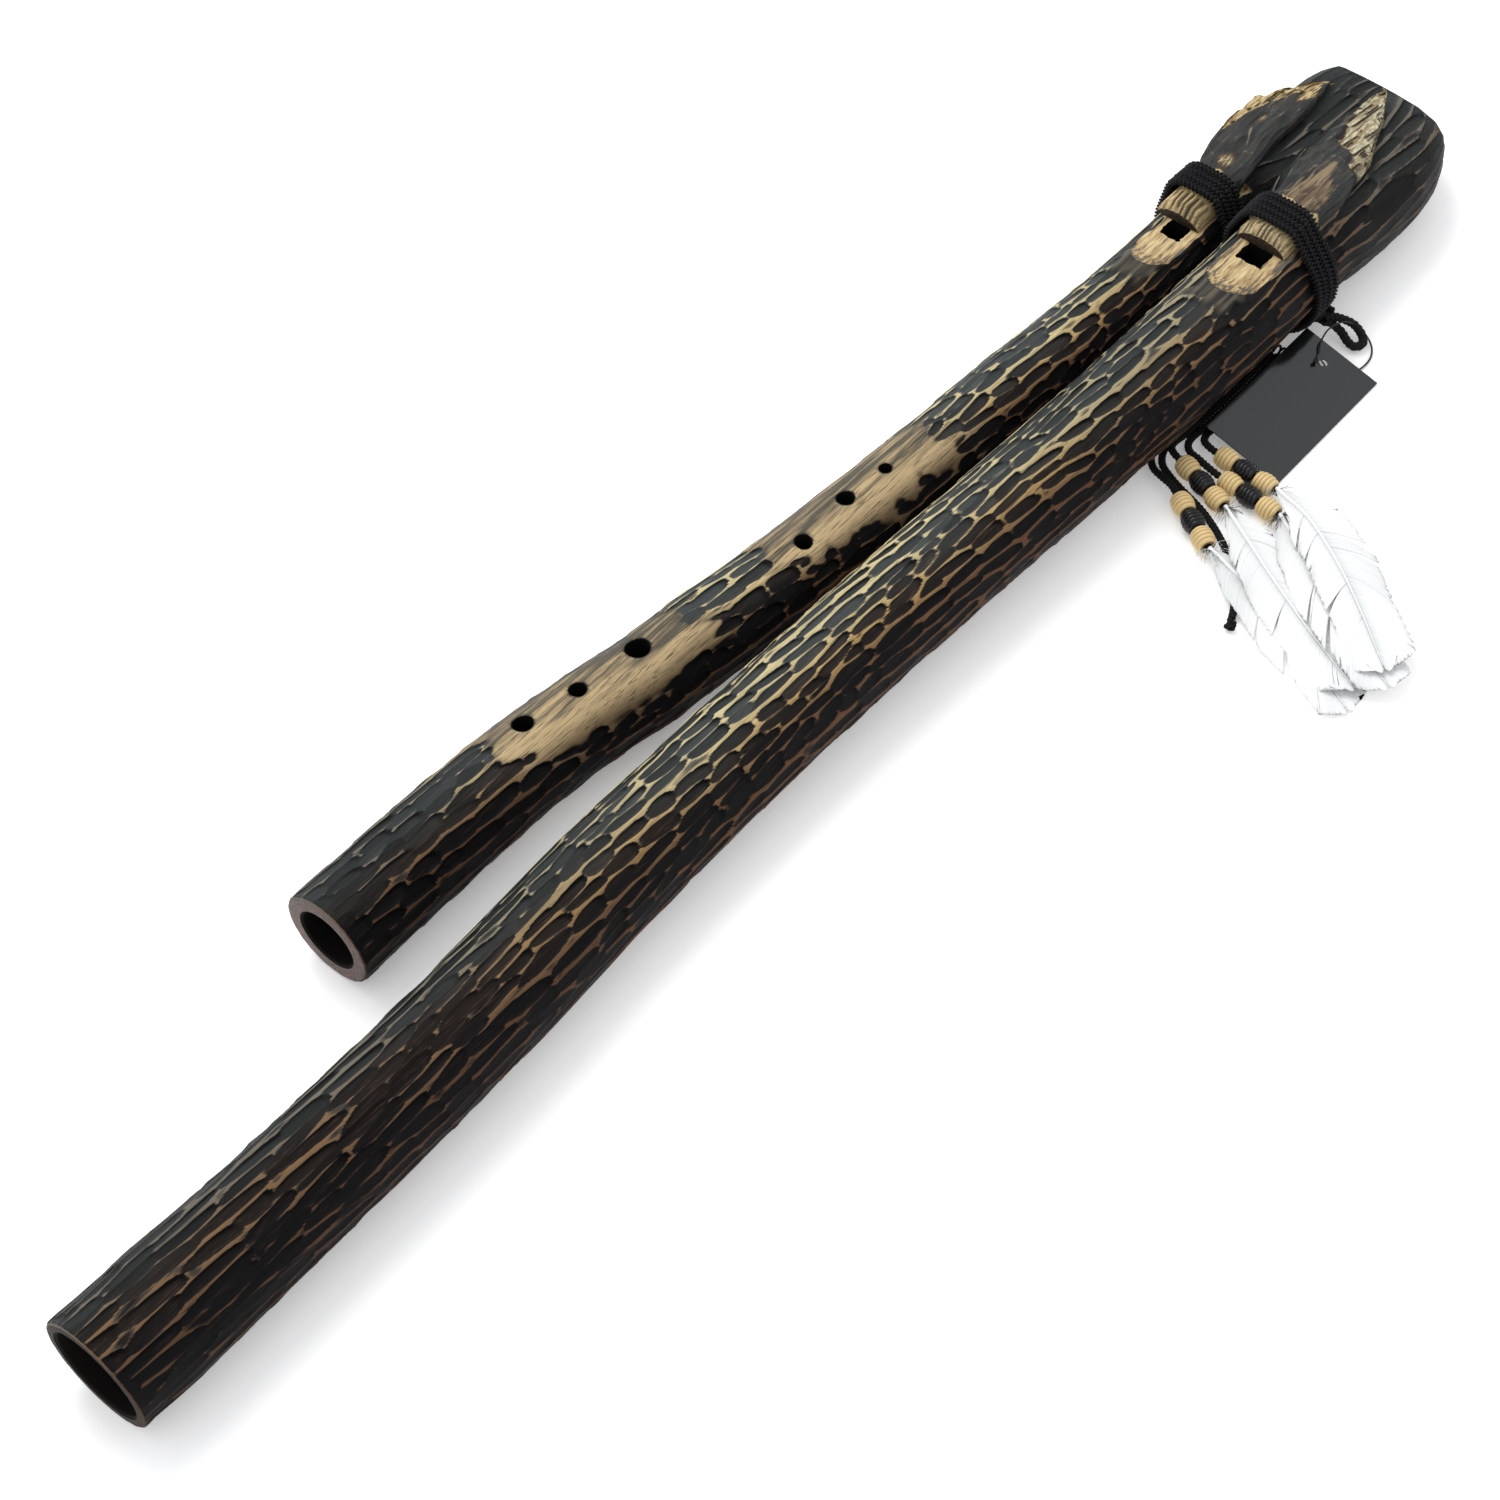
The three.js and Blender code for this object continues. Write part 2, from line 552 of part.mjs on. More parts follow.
// The drone tie's knot, low on its outer side
const knotTurn = THREE.MathUtils.degToRad(217.4);
const tieRing = ringAt(droneRings, droneTie);
const knotReach = tieRing.wide + tieThickness + 2 * fit + knotHigh / 2;
const knotPlace = new THREE.Vector3(
  droneTie + 2 * tieWidth / 3,
  tieRing.y + knotReach * Math.cos(knotTurn),
  tieRing.z + knotReach * Math.sin(knotTurn));
addPiece('tie_knot', new THREE.SphereGeometry(1, 10, 8)
  .scale(knotLong / 2, knotHigh / 2, knotHigh / 2).translate(...knotPlace), lace);

// Cords

function cordCurve(points) {
  return new THREE.CatmullRomCurve3(points.map((p) => new THREE.Vector3(...p)));
}

function cordTube(curve, radius, stepShare) {
  const section = new THREE.Shape();
  section.absarc(0, 0, radius, 0, 2 * Math.PI);
  return new THREE.ExtrudeGeometry(section, {
    extrudePath: curve,
    curveSegments: cordSides,
    steps: Math.round(curve.getLength() / (stepShare * 2 * radius)),
    bevelEnabled: false,
  });
}

addPiece('lace_loop', cordTube(cordCurve(laceLoopRoute), strandRadius, loopStepShare), lace,
  { free: true });
addPiece('tag_string', cordTube(cordCurve(tagStringRoute), stringRadius, stringStepShare), lace,
  { free: true });
addPiece('lace_end', cordTube(cordCurve(laceEndRoute), strandRadius, strandStepShare), lace,
  { free: true });
addPiece('tassel_knot', new THREE.CapsuleGeometry(
  tasselKnotRadius, tasselKnotLength - 2 * tasselKnotRadius, 3, 10)
  .translate(...tasselKnotPlace), lace, { free: true });
addPiece('lace_end_knot', new THREE.SphereGeometry(laceKnotRadius, 8, 6)
  .translate(...laceKnotPlace), lace, { free: true });
addPiece('string_knot', new THREE.SphereGeometry(stringKnotRadius, 8, 6)
  .translate(...stringKnotPlace), lace, { free: true });

// Hang tag: a bare card that leans on the barrel's side, its outer edge on the table
const card = new THREE.Shape([
  new THREE.Vector2(0, 0), new THREE.Vector2(tagLength, 0),
  new THREE.Vector2(tagLength, tagWidth), new THREE.Vector2(0, tagWidth),
]);
const eyelet = new THREE.Path();
eyelet.absarc(tagLength - tagHoleInset, tagHoleAside, tagHole, 0, 2 * Math.PI, true);
card.holes.push(eyelet);
addPiece('hang_tag', new THREE.ExtrudeGeometry(
  card, { depth: tagThickness, curveSegments: boreSides, bevelEnabled: false })
  .rotateX(tagTilt).translate(...tagCorner), tagBlack, { free: true });

// Beads: turned rings threaded on each strand, tan, black, tan
function beadGeometry() {
  const ribs = beadProfileShares.map(([out, along]) => new THREE.Vector2(
    out * beadRadius, along * beadLength / 2));
  const mouth = new THREE.Vector2(beadHole, -beadLength / 2);
  const tail = new THREE.Vector2(beadHole, beadLength / 2);
  return new THREE.LatheGeometry([mouth, ...ribs, tail, mouth.clone()], cordSides);
}

// Feathers: thin cambered blades that settle on each other in layers
function featherBlade(base, plan) {
  const heading = THREE.MathUtils.degToRad(plan.heading);
  const crest = plan.crestShare * featherLength;
  const heights = [base.z, crest, crest, plan.tipShare * featherLength];
  const forward = new THREE.Vector3(Math.cos(heading), Math.sin(heading), 0);
  const aside = new THREE.Vector3(-Math.sin(heading), Math.cos(heading), 0);
  const rise = new THREE.CatmullRomCurve3(
    featherRiseShares.map((along, i) => new THREE.Vector3(along, 0, heights[i])));
  return loft(featherWidthShares.map(([along, wide]) => {
    const spine = base.clone().addScaledVector(forward, along * plan.reachShare * featherLength);
    spine.z = rise.getPoint(along).z;
    const half = wide * featherWidth / 2;
    const edge = featherCamber * wide;
    return [[-1, 0], [0, edge], [1, 0], [1, featherThickness], [0, edge + featherThickness],
      [-1, featherThickness]].map(([out, up]) => spine.clone()
      .addScaledVector(aside, out * half).add(new THREE.Vector3(0, 0, up - edge)));
  }));
}

for (const [row, route] of Object.entries(strandRoutes)) {
  const curve = cordCurve(route);
  addPiece(`strand_${row}`, cordTube(curve, strandRadius, strandStepShare), lace, { free: true });
  for (let place = 1; place <= beadsPerStrand; place++) {
    const fromEnd = beadEnd + (beadsPerStrand - place) * beadPitch;
    const share = 1 - fromEnd / curve.getLength();
    const bead = addPiece(`bead_${row}${place}`, beadGeometry(), place === 2 ? blackBead : tanBead,
      { free: true });
    bead.position.copy(curve.getPointAt(share));
    bead.quaternion.setFromUnitVectors(new THREE.Vector3(0, 1, 0), curve.getTangentAt(share));
  }
  const base = curve.getPointAt(1).addScaledVector(curve.getTangentAt(1), fit);
  addPiece(`feather_${row}`, featherBlade(base, featherPlans[row]), featherWhite, { free: true });
}

// The origin is below the middle of what the flute holds itself, at the table
const held = new THREE.Box3();
for (const piece of heldPieces) held.expandByObject(piece);
const middle = held.getCenter(new THREE.Vector3());
flute.position.set(-middle.x, -middle.y, 0);
flute.updateMatrixWorld(true);

export default flute;
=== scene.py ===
import math

import bmesh
import bpy
import numpy as np
from mathutils import Matrix, Vector


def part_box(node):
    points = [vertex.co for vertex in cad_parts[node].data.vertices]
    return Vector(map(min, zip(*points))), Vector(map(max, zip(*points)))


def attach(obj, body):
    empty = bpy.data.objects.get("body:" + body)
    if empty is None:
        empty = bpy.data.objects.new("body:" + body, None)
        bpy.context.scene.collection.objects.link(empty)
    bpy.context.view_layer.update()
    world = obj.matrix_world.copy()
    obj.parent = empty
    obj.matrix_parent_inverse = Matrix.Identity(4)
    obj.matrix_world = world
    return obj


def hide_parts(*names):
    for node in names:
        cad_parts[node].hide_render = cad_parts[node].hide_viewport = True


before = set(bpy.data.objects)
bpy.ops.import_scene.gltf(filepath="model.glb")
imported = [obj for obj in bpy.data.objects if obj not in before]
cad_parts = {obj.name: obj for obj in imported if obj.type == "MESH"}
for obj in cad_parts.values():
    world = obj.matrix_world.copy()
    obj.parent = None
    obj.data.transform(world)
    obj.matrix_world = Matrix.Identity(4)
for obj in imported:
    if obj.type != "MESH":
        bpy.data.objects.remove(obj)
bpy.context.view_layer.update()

# The camera looks down from beyond the drone's foot, along both barrels to the mouth end, in a
# square picture. Places are millimetres from the drone's foot: along it, towards the melody
# barrel, and up from the table.
glue_aside = 18.45
foot_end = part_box("drone_barrel_lower")[0][0]
glue_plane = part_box("melody_barrel_lower")[0][1]


def place(along, aside, up):
    return Vector((foot_end + along / 1000, glue_plane + (aside - glue_aside) / 1000, up / 1000))


ahead = Vector((0.4603, 0.3877, -0.7986)).normalized()
rightward = Vector((0.6441, -0.7649, 0)).normalized()
upward = rightward.cross(ahead)
lens = bpy.data.cameras.new("camera")
lens.sensor_width = 36
lens.lens = 72
camera = bpy.data.objects.new("camera", lens)
bpy.context.collection.objects.link(camera)
turned_view = Matrix((rightward, upward, -ahead)).transposed().to_4x4()
camera.matrix_world = Matrix.Translation(place(-196.1, -456.2, 967.4)) @ turned_view
bpy.context.scene.camera = camera
bpy.context.scene.view_settings.view_transform = "Standard"


# The tassel's laces are black plaited cord, about 3 mm wide, that comes out from under the drone
# barrel and lies on the table. Each lace is three strands that pass over and under each other.
lace_width = 3.5
loop_width = 4.4
lace_pitch = 6.5


def set_values(node, **values):
    for key, value in values.items():
        node.inputs[key.replace("_", " ")].default_value = value
    return node


class Finish:
    """A surface's look, and the steps that its nodes are put together from."""

    def __init__(self, owner, shader="Principled BSDF", **values):
        owner.use_nodes = True
        self.material, self.tree = owner, owner.node_tree
        self.shader = set_values(self.tree.nodes[shader], **values)

    def step(self, kind, inputs, out=0, **settings):
        """Adds a node. Its inputs are numbers, colours or what other steps give."""
        node = self.tree.nodes.new("ShaderNode" + kind)
        for name, value in settings.items():
            setattr(node, name, value)
        for socket, value in inputs.items():
            if isinstance(value, bpy.types.NodeSocket):
                self.tree.links.new(value, node.inputs[socket])
            else:
                node.inputs[socket].default_value = value
        return node.outputs[out]

    def wire(self, value, socket="Base Color"):
        self.tree.links.new(value, self.shader.inputs[socket])

    def noise(self, scale, detail=2.0, roughness=0.5):
        where = self.step("TexCoord", {}, "Object")
        return self.step("TexNoise", {"Vector": where, "Scale": scale, "Detail": detail,
                                      "Roughness": roughness})

    def relief(self, height, strength, distance):
        self.wire(self.step("Bump", {"Height": height, "Strength": strength, "Distance": distance}),
                  "Normal")

    def ranged(self, value, low, high, to_low=0.0, to_high=1.0):
        return self.step("MapRange", {"Value": value, "From Min": low, "From Max": high,
                                      "To Min": to_low, "To Max": to_high})


def finish(name, **values):
    return Finish(bpy.data.materials.new(name), **values)


def mesh_piece(name, points, faces, look=None):
    mesh = bpy.data.meshes.new(name)
    mesh.from_pydata([tuple(p) for p in points], [], faces)
    piece = bpy.data.objects.new(name, mesh)
    bpy.context.collection.objects.link(piece)
    if look:
        mesh.materials.append(look.material)
    mesh.polygons.foreach_set("use_smooth", np.ones(len(mesh.polygons), dtype=bool))
    return piece


def fitted(piece, node, body="flute"):
    """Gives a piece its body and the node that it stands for."""
    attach(piece, body)
    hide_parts(node)
    return piece


def in_frame(points):
    """Millimetre places as points in the part's frame."""
    return np.asarray(points) / 1000 + np.array(place(0, 0, 0))


def reach_along(line):
    """How far along a line each of its points lies."""
    return np.concatenate([[0], np.cumsum(np.linalg.norm(np.diff(line, axis=0), axis=1))])


def unit(directions):
    return directions / np.maximum(np.linalg.norm(directions, axis=-1, keepdims=True), 1e-9)


def eased(t, gap, start, end, slope, end_slope):
    """A smooth run from one value to the next that starts and ends at given slopes."""
    return ((2 * t**3 - 3 * t**2 + 1) * start + (t**3 - 2 * t**2 + t) * gap * slope
            + (3 * t**2 - 2 * t**3) * end + (t**3 - t**2) * gap * end_slope)


def even_path(points, step):
    """The smooth curve through given points, in even steps."""
    points = np.array(points, dtype=float)
    reach = np.concatenate([[0], np.cumsum(np.linalg.norm(np.diff(points, axis=0), axis=1) ** 0.5)])
    slope = np.gradient(points, reach, axis=0)
    fine = np.linspace(reach[0], reach[-1], 60 * len(points))
    i = np.clip(np.searchsorted(reach, fine, side="right") - 1, 0, len(reach) - 2)
    gap = (reach[i + 1] - reach[i])[:, None]
    t = (fine - reach[i])[:, None] / gap
    curve = eased(t, gap, points[i], points[i + 1], slope[i], slope[i + 1])
    length = reach_along(curve)
    marks = np.linspace(0, length[-1], max(3, int(round(length[-1] / step)) + 1))
    return np.stack([np.interp(marks, length, curve[:, k]) for k in range(3)], axis=1)


def along_frames(path, closed=False):
    """Forward, level sideways and rising directions along a path."""
    if closed:
        forward = unit(np.roll(path, -1, axis=0) - np.roll(path, 1, axis=0))
    else:
        forward = unit(np.gradient(path, axis=0))
    side = unit(np.cross([0, 0, 1.0], forward))
    return forward, side, np.cross(forward, side)


def ring_faces(rings, around, closed=False):
    """Faces from each ring of points to the next, with a flat face over each open end."""
    i, k = np.meshgrid(np.arange(rings if closed else rings - 1), np.arange(around), indexing="ij")
    j, n = (i + 1) % rings, (k + 1) % around
    faces = np.stack([i * around + k, i * around + n, j * around + n, j * around + k], axis=-1)
    faces = faces.reshape(-1, 4).tolist()
    if not closed:
        faces += [list(range(around))[::-1], list(range((rings - 1) * around, rings * around))]
    return faces


def tube_mesh(path, side, rise, radius, sides, closed=False):
    """Points and faces of a round skin along a path; radius may change along it."""
    turn = np.arange(sides) * 2 * math.pi / sides
    radius = np.broadcast_to(radius, len(path))[:, None, None]
    ring = (np.cos(turn)[None, :, None] * side[:, None, :]
            + np.sin(turn)[None, :, None] * rise[:, None, :]) * radius
    return (path[:, None, :] + ring).reshape(-1, 3), ring_faces(len(path), sides, closed)


def add_skin(points, faces, skin):
    """Adds one skin to the points and faces of a piece; says how many points it has."""
    start = sum(len(p) for p in points)
    points.append(skin[0])
    faces += [[v + start for v in face] for face in skin[1]]
    return len(skin[0])


def plait(path, side, rise, width, thick, pitch, strand, closed=False, sides=7):
    """Three strands that weave from side to side along a path, round a core, each a round skin."""
    reach = reach_along(path)
    whole = reach[-1] + (np.linalg.norm(path[0] - path[-1]) if closed else 0)
    turns = max(1, round(whole / pitch))
    points, faces = [], []
    for k in range(3):
        phase = 2 * math.pi * (turns * reach / whole + k / 3)
        swing = (width - strand) / 2 * np.sin(phase)
        hop = (thick - strand) / 2 * np.sin(2 * phase)
        line = path + side * swing[:, None] + rise * hop[:, None]
        add_skin(points, faces, tube_mesh(line, side, rise, strand / 2, sides, closed))
    core_side = side * (width - strand) / thick * 1.3
    add_skin(points, faces, tube_mesh(path, core_side, rise, thick * 0.3, sides, closed))
    return np.vstack(points), faces


lace_black = finish("plaited_lace", Base_Color=(0.0050, 0.0050, 0.0058, 1), Roughness=0.66,
                    Specular_IOR_Level=0.16, Sheen_Weight=0.02, Sheen_Roughness=0.5)
fibre = lace_black.noise(1900, 3, 0.7)
lace_black.relief(fibre, 0.55, 0.0003)
lace_black.wire(lace_black.ranged(fibre, 0.3, 0.75, 0.5, 0.8), "Roughness")

strand_routes = {
    "a": [[681.2, -29.2, 1.8], [662, -30, 1.8], [642, -30, 1.8], [625, -29.4, 2.4], [620, -29.6, 3.2],
          [615.4, -31.7, 4.4], [613.1, -36.6, 5.1], [612.6, -40.1, 5.15], [611.5, -56, 5.15],
          [610.3, -74.4, 5.15]],
    "b": [[681.2, -22.4, 1.8], [662, -22.9, 1.8], [642, -23, 1.8], [625, -22.4, 1.8],
          [614, -21.9, 2.4], [607, -21.6, 3.4], [603, -22.9, 4.4], [600.4, -26.3, 5.1],
          [599, -30.4, 5.15], [593.8, -45.4, 5.15], [587.8, -62.9, 5.15]],
    "c": [[681.2, -15.6, 1.8], [662, -15.9, 1.8], [642, -16, 1.8], [625, -15.4, 1.8],
          [606, -15.6, 1.8], [596, -17.6, 2], [589.5, -23, 3], [586.5, -30, 4.2], [584.6, -35.9, 5],
          [581.4, -41.3, 5.15], [573.3, -55, 5.15], [563.9, -70.8, 5.15]],
    "d": [[681.2, -25.8, 1.8], [662, -26.4, 1.8], [642, -26.5, 1.8], [625, -25.9, 1.8],
          [616, -25.4, 2.2], [610.5, -26.7, 3.2], [606.4, -30.4, 4.2], [604.9, -35.5, 4.9],
          [603.4, -41, 5.1], [602, -48.8, 5.15], [600.7, -64.8, 5.15], [599.2, -83.6, 5.15]],
}
lace_end_route = [
    [681.2, -19, 1.8], [662, -19.4, 1.8], [642, -19.5, 1.8], [625, -18.9, 1.8], [608, -19, 1.8],
    [600, -20.8, 1.8], [594.5, -24.5, 1.8], [591, -31, 1.8], [588.2, -38.5, 1.8], [586, -46, 1.8],
    [583, -54.5, 1.8], [577.5, -65, 1.8], [569, -77, 1.8], [557, -88, 1.8], [546.5, -94.8, 1.8],
    [542.2, -96.8, 1.8]]
lace_loop_route = [
    [706.8, -32.4, 12.0], [709.6, -35.2, 11.0], [713.2, -39.6, 8.8], [715.0, -43.0, 7.0],
    [715.0, -46.6, 5.2], [713.4, -49.8, 3.8], [710.0, -51.2, 3.1], [707.2, -49.0, 3.0],
    [707.6, -45.0, 3.6], [709.2, -40.6, 5.2], [708.6, -36.6, 7.4], [706.6, -33.0, 9.8]]


def lace_piece(name, route, width=lace_width, strand=0.6):
    path = even_path(route, 0.45)
    _, side, rise = along_frames(path)
    points, faces = plait(path, side, rise, width, width * 0.86, lace_pitch, width * strand)
    piece = mesh_piece(f"plaited_{name}", in_frame(points), faces, lace_black)
    return fitted(piece, name), path


strands, strand_lines = {}, {}
for row, route in strand_routes.items():
    strands[row], strand_lines[row] = lace_piece(f"strand_{row}", route)
end_piece, end_line = lace_piece("lace_end", lace_end_route)
loop_piece, loop_line = lace_piece("lace_loop", lace_loop_route, loop_width, 0.76)


# The tag's thread is thin waxed black string: a loop through the card's corner hole, round the
# drone's tie, with its small knot on the card.
tag_string_route = [
    [686, -42.4, 8.4], [689.5, -41.5, 8.6], [693, -39.5, 9.6], [698.5, -38.6, 12.2],
    [704.5, -39.3, 12.4], [711, -41.5, 10.6], [716.3, -45.8, 5.2], [717, -50, 2],
    [714, -54.5, 0.9], [708, -57.8, 0.8], [700, -58.2, 0.8], [692.5, -55.5, 0.9],
    [689, -51, 1.6], [687.6, -47.2, 3.4], [687.1, -45.6, 5.8], [686.2, -44.6, 7.8]]
thread_width = 1.0
thread_black = finish("waxed_thread", Base_Color=(0.013, 0.013, 0.014, 1), Roughness=0.45)
thread_black.relief(thread_black.noise(2600), 0.4, 0.0001)

thread_line = even_path(tag_string_route, 0.5)
_, side, rise = along_frames(thread_line)
points, faces = plait(thread_line, side, rise, thread_width, 0.9, 2.6, 0.52)
thread = mesh_piece("twisted_thread", in_frame(points), faces, thread_black)
fitted(thread, "tag_string")


# Knots of the same laces: the drone tie's knot low on its outer side, the one that gathers the
# tassel under the barrel, the one at the plain lace's end and the thread's small one on the card.
def middle_and_half(node):
    """The middle of a node's box and half its size, in millimetres."""
    low, high = (np.array(corner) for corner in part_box(node))
    return ((low + high) / 2 - np.array(place(0, 0, 0))) * 1000, (high - low) * 500


def knot_piece(name, node, strand, material, lean, shift=(0, 0, 0), swell=1.0):
    """An overhand knot that fills its node's box, or stands a little beside it."""
    centre, half = middle_and_half(node)
    centre, half = centre + shift, half * swell
    t = np.linspace(0, 2 * math.pi, 181)[:-1] + lean
    path = np.stack([np.sin(t) + 2 * np.sin(2 * t), np.cos(t) - 2 * np.cos(2 * t), -np.sin(3 * t)],
                    axis=1)
    path = path / np.abs(path).max(axis=0) * (half - strand / 2 - 0.05) + centre
    _, side, rise = along_frames(path, True)
    points, faces = plait(path, side, rise, strand, strand * 0.9, strand * 2, strand * 0.52, True)
    return fitted(mesh_piece(name, in_frame(points), faces, material), node)


knot_piece("side_knot", "tie_knot", 3.6, lace_black, 0.4, (4.9, 2.8, 2.3), 1.35)
end_knot = knot_piece("end_knot", "lace_end_knot", 2.3, lace_black, 1.9)
knot_piece("card_knot", "string_knot", 0.95, thread_black, 0.9)

centre, half = middle_and_half("tassel_knot")
wraps = 5.5
binding_radius = 0.6
t = np.linspace(0, wraps * 2 * math.pi, 400)
path = np.stack([centre[0] + (half[0] - 0.65) * np.cos(t),
                 centre[1] + (half[1] - 0.7) * (2 * t / t[-1] - 1),
                 centre[2] + (half[2] - 0.65) * np.sin(t)], axis=1)
forward = unit(np.gradient(path, axis=0))
across = np.cross(np.stack([np.cos(t), 0 * t, np.sin(t)], axis=1), forward)
points, faces = tube_mesh(path, across, np.cross(forward, across), binding_radius, 8)
fitted(mesh_piece("tassel_binding", in_frame(points), faces, lace_black), "tassel_knot")


# The beads are turned wood, ribbed like little stacked rings: two oiled pale ones with a black
# one between them on each lace, threaded tight against each other.
bead_radius = 5.05
bead_half = 4.85
bead_bore = 2.2
bead_sides = 44


def measured(look, name):
    """A number that every point of a piece carries, read by its finish."""
    return look.step("Attribute", {}, "Fac", attribute_name=name)


def ramped(look, value, *stops):
    """Colours along a ramp, read off by a value."""
    node = look.tree.nodes.new("ShaderNodeValToRGB")
    look.tree.links.new(value, node.inputs["Fac"])
    for element, (position, colour) in zip(node.color_ramp.elements, stops):
        element.color, element.position = colour, position
    return node.outputs["Color"]


def give_value(piece, name, values):
    """A number on every point of a piece, for its finish to read."""
    layer = piece.data.attributes.new(name, "FLOAT", "POINT")
    layer.data.foreach_set("value", np.asarray(values, dtype=np.float32).ravel())


# Painted shade: the pale beads are dark in the grooves between their rings and at their ends by the bore.
pale_bead = finish("pale_bead", Roughness=0.42)
pale_bead.wire(ramped(pale_bead, measured(pale_bead, "rib"), (0.0, (0.23, 0.125, 0.042, 1)),
                      (0.55, (0.67, 0.485, 0.22, 1))))
dark_bead = finish("dark_bead", Base_Color=(0.004, 0.004, 0.005, 1), Roughness=0.24,
                   Specular_IOR_Level=0.35)


def bead_piece(row, number):
    node = f"bead_{row}{number}"
    centre, _ = middle_and_half(node)
    line = strand_lines[row]
    near = int(np.argmin(np.linalg.norm(line - centre, axis=1)))
    forward = unit(line[min(near + 3, len(line) - 1)] - line[near - 3])
    side = unit(np.cross([0, 0, 1.0], forward))
    u = np.linspace(-1, 1, 61)
    ribs = np.sqrt(np.clip(1 - (2 * ((2.5 * u + 0.5) % 1) - 1) ** 2, 0, 1))
    radius = bead_radius * (1 - 0.26 * np.abs(u) ** 2.2) * (0.84 + 0.16 * ribs)
    profile = [(bead_bore, -1)] + list(zip(radius, u)) + [(bead_bore, 1)]
    turn = np.arange(bead_sides) * 2 * math.pi / bead_sides
    points = np.array([centre + forward * along * bead_half + out * (math.cos(a) * side
                       + math.sin(a) * np.cross(forward, side)) for out, along in profile for a in turn])
    wood, slot = (dark_bead, "black_bead") if number == 2 else (pale_bead, "tan_bead")
    piece = mesh_piece(f"ribbed_{node}", in_frame(points), ring_faces(len(profile), bead_sides, True),
                       wood)
    give_value(piece, "rib", np.repeat(np.concatenate([[0], ribs, [0]]), bead_sides))
    return fitted(piece, node)


for row, line in strand_lines.items():
    beads = [bead_piece(row, number) for number in (1, 2, 3)]


# The feathers are white wing feathers, one glued into the last bead of each lace. Each is a quill
# with two vanes of slanting barbs that curl, part in places and end ragged.
feather_white = finish("feather_white", Roughness=0.8, Specular_IOR_Level=0.2)
barbs = feather_white.step("TexNoise", {"W": measured(feather_white, "barb"), "Scale": 0.9, "Detail": 4,
                                        "Roughness": 0.7}, noise_dimensions="1D")
# The vanes go grey along the quill, in bands across them and at their edge, which is painted shade, and
# towards their base.
greyness = feather_white.step("Math", {0: barbs, 1: 0.55, 2: measured(feather_white, "fold_shade_and_grey_base")},
                              operation="MULTIPLY_ADD")
feather_white.wire(ramped(feather_white, greyness, (0.25, (0.87, 0.872, 0.86, 1)),
                          (1.0, (0.46, 0.48, 0.475, 1))))
feather_white.relief(barbs, 0.5, 0.0004)
down_grey = finish("grey_down", Base_Color=(0.11, 0.105, 0.10, 1), Roughness=0.9)

# Where each feather heads, in degrees, its share of the full length, and the height of its crest
# and tip as shares of that length.
feather_length = 106
feather_half = 16.5
vane_thickness = 0.12
barb_ends = 14
feather_plans = {"a": (238, 1.02, 0.1434, 0.0887), "b": (244.3, 1.02, 0.0774, 0.0406),
                 "c": (250.4, 0.93, 0.0491, 0.0132), "d": (240.2, 0.96, 0.1057, 0.0642)}
vane_shares = [(0, 0.20), (0.06, 0.42), (0.2, 0.80), (0.42, 1), (0.66, 1), (0.86, 0.90),
               (0.95, 0.72), (1, 0.42)]


def between(at, knots):
    """A value read off a list of places and values."""
    return np.interp(at, *zip(*knots))


